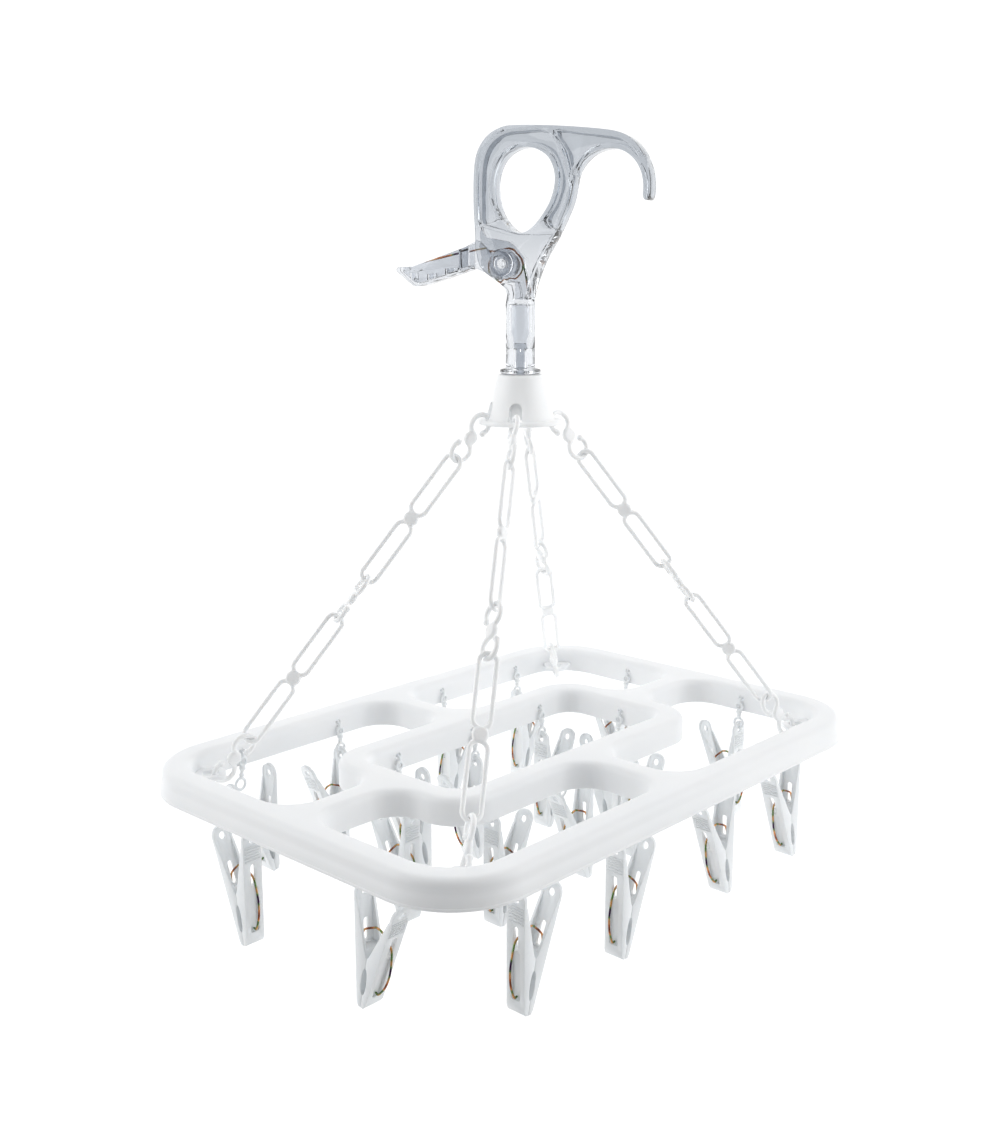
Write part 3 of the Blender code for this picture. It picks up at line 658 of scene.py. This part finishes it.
def pin_mesh():
    """The pivot pin with a dished head each side."""
    dished = []
    for radius, depth in ((0.0, 7.6), (1.6, 7.6), (2.2, 8.5), (2.6, 8.8), (2.95, 8.4)):
        dished.append((radius, depth))
    profile = dished + [(3.0, 8.0), (3.0, -8.0)] + [(radius, -depth) for radius, depth in reversed(dished)]
    place = Matrix.Translation(hook_point(*PIVOT)) @ Z.rotation_difference(PLATE).to_matrix().to_4x4()
    return moved(turned(profile, 40), place)


def lever_mesh():
    """The catch lever: a ribbed channel with a lipped end, a web and a round boss."""
    side = [(-31.5, 309.6), (-50.0, 303.9), (-64.0, 299.8), (-67.0, 299.3), (-69.6, 299.8), (-75.0, 304.0),
            (-80.9, 308.4), (-81.0, 310.2), (-79.6, 311.0), (-69.8, 311.2)]
    shell = prism([side + [(-31.5, 323.3)]], -6.5, 6.5, in_plate)
    hollow = [(-29.0, 312.4), (-50.0, 305.9), (-63.6, 302.0), (-66.4, 301.6), (-69.0, 302.2), (-76.4, 307.6),
              (-76.8, 316.0)]
    trough = prism([hollow + [(-36.0, 330.0), (-29.0, 330.0)]], -5.0, 5.0, in_plate)
    blade = [(-10.0, 303.2), (-24.0, 308.2), (-30.0, 310.8), (-40.0, 308.0), (-40.0, 320.6), (-29.4, 325.6),
             (-26.4, 327.0), (-24.0, 325.4), (-18.0, 319.0), (-9.0, 320.6)]
    web = prism([blade], -3.0, 3.0, in_plate)
    boss = prism([circle(9.0, 48, PIVOT)], -3.2, 3.2, in_plate)
    ribs = []
    for start, low in ((-72.0, 303.0), (-60.0, 302.4), (-48.0, 305.6)):
        rib = [(start, low), (start + 1.2, low + 0.3), (start + 1.2, low + 4.4), (start, low + 4.2)]
        ribs.append(prism([rib], -5.2, 5.2, in_plate))
    lever = join(cut(shell, trough), web, boss, *ribs)
    lever = cut(lever, prism([circle(PIN_BORE, 32, PIVOT)], -20.0, 20.0, in_plate))
    return softened(lever, 0.45, 2)


def spring_paths():
    """The torsion spring's lever leg, and its coil with the leg down the housing."""
    out, height = PIVOT
    leg = [(-74.0, 309.8), (-56.0, 314.2), (-38.0, 318.6), (-24.0, 321.4), (-11.6, 322.4)]
    coil = []
    for index in range(49):
        share = index / 48
        angle = math.radians(105.0 - 465.0 * share)
        x, z = out + SPRING_COIL * math.cos(angle), height + SPRING_COIL * math.sin(angle)
        coil.append((x, z, COIL_DEPTH + 1.5 * share))
    coil += [(2.2, 306.0, 5.4), (2.6, 300.0, 5.4), (2.8, 294.4, 5.4), (1.6, 293.0, 5.4)]
    return [hook_point(*point, COIL_DEPTH) for point in leg], [hook_point(*point) for point in coil]


# ---------------------------------------------------------------- hub


def hub_mesh():
    shell = turned([(0.0, HUB_TOP), (13.0, HUB_TOP), (13.9, HUB_TOP - 0.3), (14.4, HUB_TOP - 1.0), (14.5, 244.6),
                    (17.9, 231.0), (20.6, 221.2), (21.6, FLANGE_TOP), (25.2, FLANGE_TOP), (25.8, FLANGE_TOP - 0.4),
                    (26.0, 218.6), (26.0, 217.4), (25.8, 216.9), (25.2, FLANGE_FOOT), (0.0, FLANGE_FOOT)], 96)
    cavity = turned([(0.0, 240.0), (9.0, 240.0), (14.5, FLANGE_FOOT - 1.0), (0.0, FLANGE_FOOT - 1.0)], 64)
    bore = turned([(0.0, 250.0), (RIVET_BORE, 250.0), (RIVET_BORE, 230.0), (0.0, 230.0)], 24)
    windows = []
    for azimuth in azimuths():
        arch = [(4.0 * math.cos(angle), 226.0 + 4.4 * math.sin(angle))
                for angle in (math.pi * step / 16 for step in range(17))]
        spin = Matrix.Rotation(azimuth, 4, "Z")
        turn = lambda point: Vector((point.z, point.x, point.y))
        windows.append(moved(prism([[(-4.0, 215.5), (4.0, 215.5)] + arch], 13.0, 21.6, turn), spin))
        windows.append(moved(prism([[(-4.0, FLANGE_TOP), (4.0, FLANGE_TOP)] + arch], 20.0, 30.0, turn), spin))
    return softened(cut(shell, cavity, bore, *windows), 0.3, 2)


def pin_in_stem():
    return turned([(0.0, 233.0), (5.6, 233.0), (6.0, 233.4), (6.0, 236.2), (5.6, 236.6), (2.7, 236.6),
                   (2.7, 262.4), (3.8, 262.4), (4.0, 262.8), (4.0, 265.4), (3.2, 266.2), (0.0, 266.2)], 32)


# ---------------------------------------------------------------- grid frame


def rounded(corners):
    """A closed loop from (x, y, radius, steps) corners, each rounded by an arc."""
    loop = []
    count = len(corners)
    for index, (x, y, radius, steps) in enumerate(corners):
        here = Vector((x, y))
        before = (Vector(corners[index - 1][:2]) - here).normalized()
        after = (Vector(corners[(index + 1) % count][:2]) - here).normalized()
        centre = here + (before + after) * radius
        for step in range(steps + 1):
            angle = math.pi / 2 * step / steps
            arm = -after * math.cos(angle) - before * math.sin(angle)
            loop.append(tuple(centre + arm * radius))
    return loop


def frame_loops(outer, inner):
    x, y, radius = FRAME_X - outer, FRAME_Y - outer, CORNER_RADIUS - outer
    loops = [rounded([(x, y, radius, 20), (-x, y, radius, 20), (-x, -y, radius, 20), (x, -y, radius, 20)])]
    x, y, radius = RING_X - BAR + inner, RING_Y - BAR + inner, 14.0 + inner
    loops.append(rounded([(x, y, radius, 12), (-x, y, radius, 12), (-x, -y, radius, 12), (x, -y, radius, 12)]))
    near, rim_x, rim_y = BAR / 2 - inner, FRAME_X - BAR + inner, FRAME_Y - BAR + inner
    ring_x, ring_y = RING_X - inner, RING_Y - inner
    corners = [
        (near, rim_y, FILLET + inner, 12),
        (near, ring_y, FILLET + inner, 12),
        (ring_x, ring_y, RING_RADIUS - inner, 16),
        (ring_x, near, FILLET + inner, 12),
        (rim_x, near, FILLET + inner, 12),
        (rim_x, rim_y, CORNER_RADIUS - BAR + inner, 16),
    ]
    quarter = rounded(corners)
    for side_x, side_y in ((1, 1), (-1, 1), (-1, -1), (1, -1)):
        loops.append([(side_x * x, side_y * y) for x, y in quarter])
    return loops


def frame_shell():
    """The grid: a channel open below, with a rounded top and a lip round the outside."""
    outline = [(-1.1, 0.25, 0.0), (-1.45, 0.0, 0.35), (-1.45, 0.0, 1.5), (-1.15, 0.0, 1.9), (-1.1, 0.0, 4.0),
               (-0.95, 0.0, 5.8), (-0.6, 0.0, 7.2), (-0.25, 0.0, 8.4), (-0.05, 0.0, 9.6), (0.0, 0.0, 12.2)]
    for step in range(1, 7):
        angle = math.pi / 2 * step / 6
        inward = 4.8 * (1 - math.cos(angle))
        outline.append((inward, inward, 12.2 + 4.8 * math.sin(angle)))
    channel = [(0.6, 1.7, 0.0), (0.8, 2.0, 0.4), (0.9, 2.0, 7.2), (2.0, 2.0, 8.0), (2.0, 2.0, 11.6),
               (2.6, 2.6, 13.4), (4.8, 4.8, 15.0)]
    layers = [(frame_loops(outer, inner), height) for outer, inner, height in list(reversed(channel)) + outline]
    return layered(layers)


def azimuths():
    return [CHAIN_AZIMUTH, math.pi - CHAIN_AZIMUTH, math.pi + CHAIN_AZIMUTH, -CHAIN_AZIMUTH]


def lug(azimuth):
    outline = smooth([(186.4, -3.6), (186.4, 3.6), (187.4, 6.4), (192.0, 8.0), (206.4, 9.4),
                      (206.4, -9.4), (192.0, -8.0), (187.4, -6.4)], 4)
    slot = rounded([(200.4, 4.2, 1.6, 4), (190.6, 4.2, 1.6, 4), (190.6, -4.2, 1.6, 4), (200.4, -4.2, 1.6, 4)])
    shelf = softened(prism([outline, slot], 4.6, 7.4), 0.5, 2)
    return moved(shelf, Matrix.Rotation(azimuth, 4, "Z"))


def frame_mesh():
    holes = []
    for name, joint in joints.items():
        if name.startswith("peg_swing"):
            along = Vector(joint["axis"])
            turn = Matrix.Rotation(math.atan2(along.y, along.x), 4, "Z")
            hole = prism([circle(2.3, 20)], -2.8, 2.8, lambda point: Vector((point.x, point.z, point.y)))
            holes.append(moved(hole, Matrix.Translation(local(joint["pos_m"])) @ turn))
    return cut(frame_shell(), heap(*holes))


# ---------------------------------------------------------------- chains


def small_link():
    """A flat S-shaped link on X: a disc between two round hooks with bulb ends, each open on one side."""
    reach = SMALL_LENGTH / 2 - HOOK_RADIUS
    parts = []
    for side in (1, -1):
        path = []
        for step in range(41):
            angle = math.radians(-178.0 + 300.0 * step / 40)
            x, y = reach + HOOK_RADIUS * math.cos(angle), HOOK_RADIUS * math.sin(angle)
            path.append((side * x, side * y, 0.0))
        parts.append(tube(path, LINK_WIRE, 12))
        parts.append(ball(path[-1], LINK_WIRE * 1.32))
    disc = [(0.0, -2.0), (3.4, -2.0), (4.2, -1.5), (4.7, 0.0), (4.2, 1.5), (3.4, 2.0), (0.0, 2.0)]
    parts.append(turned(disc, 32))
    return ready(fused(heap(*parts), 0.42, 0.35))


def long_link(length):
    """A flat link on X: two long closed loops joined by a disc."""
    half = length / 2
    parts = []
    for side in (1, -1):
        path = []
        for centre, first in ((half - LONG_HALF_WIDTH, -90.0), (3.4 + LONG_HALF_WIDTH, 90.0)):
            for step in range(17):
                angle = math.radians(first + 180.0 * step / 16)
                x = centre + LONG_HALF_WIDTH * math.cos(angle)
                path.append((side * x, LONG_HALF_WIDTH * math.sin(angle), 0.0))
        parts.append(tube(path, LONG_WIRE, 12, closed=True))
    disc = [(0.0, -2.0), (3.6, -2.0), (4.4, -1.5), (4.9, 0.0), (4.4, 1.5), (3.6, 2.0), (0.0, 2.0)]
    parts.append(turned(disc, 32))
    return ready(fused(heap(*parts), 0.42, 0.35))


def chain_places():
    """Where the five links of a chain sit along its line: kind, middle and roll."""
    start, end = Vector((CHAIN_START[0], 0.0, CHAIN_START[1])), Vector((CHAIN_END[0], 0.0, CHAIN_END[1]))
    length = (end - start).length
    first = 1.92 - HOOK_RADIUS
    long_start = first + SMALL_LENGTH - (LINK_WIRE + LONG_WIRE - 0.35)
    long_end = length / 2 - SMALL_LENGTH / 2 + LINK_WIRE + LONG_WIRE + 0.1
    middle = (long_start + long_end) / 2
    places = [first + SMALL_LENGTH / 2, middle, length / 2, length - middle, length - first - SMALL_LENGTH / 2]
    return start, (end - start).normalized(), places, long_end - long_start


# Roll of each link about its chain, from the hub outwards: back right, back left, front left, front right.
ROLLS = (
    (65.0, 110.0, 45.0, -20.0, 65.0),
    (65.0, 115.0, 0.0, 115.0, 65.0),
    (65.0, 110.0, 45.0, -20.0, 65.0),
    (65.0, 115.0, 0.0, 115.0, 65.0),
)


def chains(look):
    start, along, places, long_length = chain_places()
    small, long = small_link(), long_link(long_length)
    tilt = Matrix.Rotation(math.atan2(-along.z, along.x), 4, "Y")
    names = ("top_hook", "upper_long", "middle_hook", "lower_long", "bottom_hook")
    for number, azimuth in enumerate(azimuths(), 1):
        bodies = ["hanger", "hanger", f"chain_link_{number}", "hanger", "hanger"]
        stands = {1: f"chain_{number}_upper", 2: f"chain_{number}_middle", 3: f"chain_{number}_lower"}
        for index, (name, distance, roll) in enumerate(zip(names, places, ROLLS[number - 1])):
            spin = Matrix.Rotation(azimuth, 4, "Z")
            place = spin @ Matrix.Translation(start + along * distance) @ tilt
            place = place @ Matrix.Rotation(math.radians(roll), 4, "X")
            mesh = long if index % 2 else small
            nodes = [stands[index]] if index in stands else []
            put(f"chain_{number}_{name}", mesh, look, bodies[index], in_metres(place), nodes)


# ---------------------------------------------------------------- pegs


def outer_face(height):
    return JAW_HALF + PEG_SLOPE * height


def arm_mesh():
    """The arm on the +X side of an upright peg whose jaw tips meet at the origin."""
    half = 6.5
    top = 60.0
    inner_arc = []
    for step in range(9):
        angle = math.pi * step / 8
        inner_arc.append((0.15 + 2.0 * math.sin(angle), 24.6 - 8.3 * (1 - math.cos(angle))))
    side = [(0.15, 0.0), (JAW_HALF - 1.0, 0.0), (outer_face(2.4), 2.4), (outer_face(top), top),
            (outer_face(top) - 2.4, top), (6.0, 44.0), (2.6, 35.2), (1.4, 32.4), (0.15, 31.0)]
    upright = lambda point: Vector((point.x, point.z, point.y))
    body = prism([side + inner_arc], -half, half, upright)
    head = [(-half + 0.03, 55.0), (half - 0.03, 55.0)]
    for step in range(17):
        angle = math.pi * step / 16
        head.append(((half - 0.03) * math.cos(angle), PEG_HOLE + (PEG_LENGTH - PEG_HOLE) * math.sin(angle)))
    slope = Matrix.Identity(4)
    slope[0][2] = PEG_SLOPE
    slope[0][3] = JAW_HALF
    across = lambda point: Vector((point.z, point.x, point.y))
    body = join(body, moved(prism([head], -2.0, 0.03, across), slope))
    low, high = 34.0, 68.0
    floor = [(outer_face(low) - 1.7, low), (outer_face(high) - 1.7, high)]
    pocket = prism([floor + [(floor[1][0] - 12.0, high), (-4.0, low + 1.0)]], -4.9, 4.9, upright)
    through = rounded([(1.7, 48.5, 1.6, 5), (-1.7, 48.5, 1.6, 5), (-1.7, 35.0, 1.6, 5), (1.7, 35.0, 1.6, 5)])
    slot = prism([through], -6.0, 6.0, across)
    groove = rounded([(3.1, 34.6, 1.5, 5), (-3.1, 34.6, 1.5, 5), (-3.1, 7.0, 1.5, 5), (3.1, 7.0, 1.5, 5)])
    groove = prism([groove], -1.7, 3.0, across)
    hole = prism([circle(2.2, 28, (0.0, PEG_HOLE))], -6.0, 6.0, across)
    body = cut(body, pocket, *[moved(tool, slope) for tool in (slot, groove, hole)])
    body = softened(body, 0.35, 2)
    extras = []
    for step in range(6):
        height = 50.6 + 1.7 * step
        path = [(0.05, y, height) for y in (-5.0, 0.0, 5.0)]
        extras.append(moved(tube(path, 0.45, 8), slope))
    for step in range(4):
        height = 1.2 + 1.5 * step
        path = [(0.3, y, height) for y in (-5.6, 0.0, 5.6)]
        extras.append(tube(path, 0.3, 6))
    return ready(heap(body, *extras))


def wire_mesh():
    """One half of the wire spring: seated in the groove at the jaw, bowed out, and in through the slot."""
    seat, enter = outer_face(9.0) - 0.9, outer_face(40.0)
    path = [(seat, 9.0), (seat + 1.6, 8.6), (outer_face(12.0) + 2.2, 11.2), (outer_face(17.0) + 4.0, 16.6),
            (outer_face(24.0) + 4.4, 24.0), (outer_face(31.0) + 3.2, 31.5), (enter + 0.4, 39.4),
            (enter - 2.4, 42.6), (enter - 6.4, 45.2), (2.0, 46.6), (-0.4, 46.8)]
    points = [Vector((x, 0.0, z)) for x, z in smooth(path, 6, closed=False)]
    return ready(tube(points, 0.62, 10))


def tie_mesh(hang):
    """The small link from the wall's hole to the peg's: a bar through the wall, beads and a ring. Y is inward."""
    ring_radius = 3.6
    centre = Vector((0.0, TIE_STAND_OFF, -hang + 2.2 - 0.9 - 0.05 + ring_radius))
    top = centre.z + ring_radius
    ring = [centre + Vector((x, 0.0, z)) for x, z in circle(ring_radius, 28)]
    bar = [(0.0, -3.3, 3.0), (0.0, -3.2, 1.0), (0.0, -2.4, 0.1), (0.0, -0.6, 0.0), (0.0, 1.4, -0.1)]
    bar += [(0.0, 2.6, -1.0), (0.0, TIE_STAND_OFF, -2.8)]
    eye = [Vector((x, TIE_STAND_OFF, -5.3 + z)) for x, z in circle(2.4, 24)]
    parts = [
        tube(ring, 0.95, 10, closed=True),
        tube(smooth(bar, 5, closed=False), 0.95, 10),
        tube(eye, 0.95, 10, closed=True),
        ball((0.0, TIE_STAND_OFF, -9.4), 2.2, 0.9),
        ball((0.0, TIE_STAND_OFF, top + 1.9), 1.7, 0.9),
        tube([(0.0, TIE_STAND_OFF, -7.6), (0.0, TIE_STAND_OFF, top)], 1.1, 10),
    ]
    return ready(fused(heap(*parts), 0.34, 0.35))


def pegs(look, steel):
    arm, wire, ties = arm_mesh(), wire_mesh(), {}
    half_turn = Matrix.Rotation(math.pi, 4, "Z")
    for number in range(1, 21):
        swing, jaw = joints[f"peg_swing_{number:02d}"], joints[f"jaw_{number:02d}"]
        pivot, hinge = local(swing["pos_m"]), local(jaw["pos_m"])
        along = Vector(swing["axis"]).normalized()
        into = Z.cross(along)
        hand = -1.0 if Vector(jaw["axis"]).dot(into) > 0 else 1.0
        away = (hinge - pivot).dot(along) * hand
        lean = PEG_LEAN if away < 9.6 else -PEG_LEAN
        turn = Matrix.Rotation(math.atan2(along.y, along.x), 4, "Z")
        spot = Matrix.Translation(hinge) @ turn
        tilt = Matrix.Rotation(lean * hand, 4, "Y") @ Matrix.Translation((0.0, 0.0, -FULCRUM))
        free = spot @ tilt @ (Matrix.Identity(4) if hand > 0 else half_turn)
        held = spot @ tilt @ (half_turn if hand > 0 else Matrix.Identity(4))
        name = f"peg_{number:02d}"
        put(f"{name}_upright_arm", arm, look, name, in_metres(held), [f"{name}_arm"])
        put(f"{name}_free_arm", arm, look, f"jaw_{number:02d}", in_metres(free), [f"{name}_jaw"])
        put(f"{name}_wire_a", wire, steel, name, in_metres(held))
        put(f"{name}_wire_b", wire, steel, f"jaw_{number:02d}", in_metres(free))
        hole = held @ Vector((outer_face(PEG_HOLE) - 1.0, 0.0, PEG_HOLE))
        hang = round(pivot.z - hole.z, 2)
        if hang not in ties:
            ties[hang] = tie_mesh(hang)
        shear = Matrix.Identity(4)
        shear[0][2] = -(hole - pivot).dot(along) / hang
        put(f"{name}_tie", ties[hang], look, name, in_metres(Matrix.Translation(pivot) @ turn @ shear))


# ---------------------------------------------------------------- stage


def sweep(look):
    """A round pale floor that curves up into a wall all round the hanger."""
    sides, steps = 96, 24
    flat = BACKDROP_REACH - BACKDROP_CURVE
    line = [(0.6, FLOOR), (flat, FLOOR)]
    for step in range(1, steps + 1):
        angle = math.pi / 2 * step / steps
        line.append((flat + BACKDROP_CURVE * math.sin(angle), FLOOR + BACKDROP_CURVE * (1 - math.cos(angle))))
    line.append((BACKDROP_REACH, BACKDROP_TOP))
    points = [Z * FLOOR]
    faces = []
    for reach, height in line:
        for index in range(sides):
            angle = 2 * math.pi * index / sides
            points.append(Vector((reach * math.cos(angle), reach * math.sin(angle), height)))
    for index in range(sides):
        right = (index + 1) % sides
        faces.append((0, 1 + index, 1 + right))
        for row in range(len(line) - 1):
            near, far = 1 + row * sides, 1 + (row + 1) * sides
            faces.append((near + index, far + index, far + right, near + right))
    mesh = mesh_from(points, faces)
    for face in mesh.polygons:
        face.use_smooth = True
    mesh.materials.append(look)
    obj = bpy.data.objects.new("backdrop", mesh)
    bpy.context.scene.collection.objects.link(obj)


def aimed(data, spot, target):
    """A light at a spot, turned to its target."""
    obj = bpy.data.objects.new(data.name, data)
    obj.location = spot
    obj.rotation_euler = (target - spot).to_track_quat("-Z", "Y").to_euler()
    bpy.context.scene.collection.objects.link(obj)


def softbox(name, spot, target, size, power):
    data = bpy.data.lights.new(name, "AREA")
    data.shape = "RECTANGLE"
    data.size = data.size_y = size
    data.energy = power
    aimed(data, spot, target)


def beam(name, spot, target, power):
    """A narrow light on one place."""
    data = bpy.data.lights.new(name, "SPOT")
    data.energy = power
    data.spot_size = math.radians(11.0)
    data.spot_blend = 1.0
    data.shadow_soft_size = 0.08
    aimed(data, spot, target)


def studio():
    world = bpy.data.worlds.new("studio")
    world.use_nodes = True
    back = world.node_tree.nodes["Background"]
    back.inputs["Color"].default_value = (0.93, 0.96, 1.0, 1.0)
    back.inputs["Strength"].default_value = 0.07
    bpy.context.scene.world = world
    middle = Vector((-0.02, 0.05, -0.3))
    left = Z.cross(VIEW)
    softbox("left", middle + left * 1.6 - VIEW * 0.45 + Z * 0.45, middle, 1.5, LEFT_POWER)
    softbox("right", middle - left * 1.6 - VIEW * 0.45 + Z * 0.45, middle, 1.5, RIGHT_POWER)
    softbox("top", middle + VIEW * 0.25 + Z * 2.0, middle, 1.6, TOP_POWER)
    beam("hub", middle - VIEW * 0.9 + Z * 0.75, ORIGIN + Z * 0.225, HUB_POWER)


def camera():
    data = bpy.data.cameras.new("camera")
    data.sensor_fit = "AUTO"
    data.sensor_width = 36.0
    data.lens = CAMERA_LENS
    data.clip_start, data.clip_end = 0.01, 50.0
    obj = bpy.data.objects.new("camera", data)
    obj.location = ORIGIN + Vector(CAMERA_PLACE) * MM
    obj.rotation_euler = (math.radians(CAMERA_TILT), 0.0, math.radians(CAMERA_TURN))
    bpy.context.scene.collection.objects.link(obj)
    bpy.context.scene.camera = obj


def main():
    # The second, darker grey of each clear plastic is painted shade on its higher parts.
    clear = clear_plastic("clear_polycarbonate", (0.74, 0.76, 0.79), (0.47, 0.50, 0.54))
    lever_clear = clear_plastic("clear_lever", (0.75, 0.77, 0.80), (0.69, 0.72, 0.76))
    shell = white_plastic("white_frame_plastic", (0.90, 0.91, 0.92), (0.87, 0.885, 0.90), 0.38, 900.0, 0.25)
    # The hub's and chains' whites are lighter than the frame's as painted light, brightening parts that the lamps
    # light less.
    cone = white_plastic("white_hub_plastic", (0.94, 0.95, 0.955), (0.915, 0.93, 0.94), 0.34, 900.0, 0.25)
    links = white_plastic("white_chain_plastic", (0.95, 0.96, 0.965), (0.925, 0.94, 0.95), 0.3, 1100.0, 0.35)
    pearl = white_plastic("white_peg_plastic", (0.87, 0.89, 0.90), (0.83, 0.86, 0.88), 0.32, 1000.0, 0.3)
    steel = tempered_wire("tempered_wire")
    put("handle", ready(handle_mesh()), clear, "handle", nodes=["hook_body"])
    put("handle_bosses", ready(boss_mesh()), clear, "handle")
    put("lever_pin_dished", ready(pin_mesh()), lever_clear, "handle", nodes=["lever_pin"])
    put("lever", ready(lever_mesh()), lever_clear, "catch_lever", nodes=["catch_lever"])
    leg, coil = [ready(tube(path, SPRING_WIRE, 10)) for path in spring_paths()]
    put("lever_spring_leg", leg, steel, "catch_lever")
    put("lever_spring_coil", coil, steel, "handle", nodes=["lever_spring"])
    put("swivel_rivet", ready(pin_in_stem()), lever_clear, "hanger", nodes=["swivel_pin"])
    put("hub_cone", ready(hub_mesh()), cone, "hanger", nodes=["hub"])
    put("grid_frame", ready(frame_mesh()), shell, "hanger", nodes=["frame"])
    for number, azimuth in enumerate(azimuths(), 1):
        put(f"corner_lug_{number}", ready(lug(azimuth)), shell, "hanger")
    chains(links)
    pegs(pearl, steel)
    sweep(backdrop_white("backdrop_white"))
    studio()
    camera()
    bpy.context.scene.view_settings.view_transform = "Standard"


main()
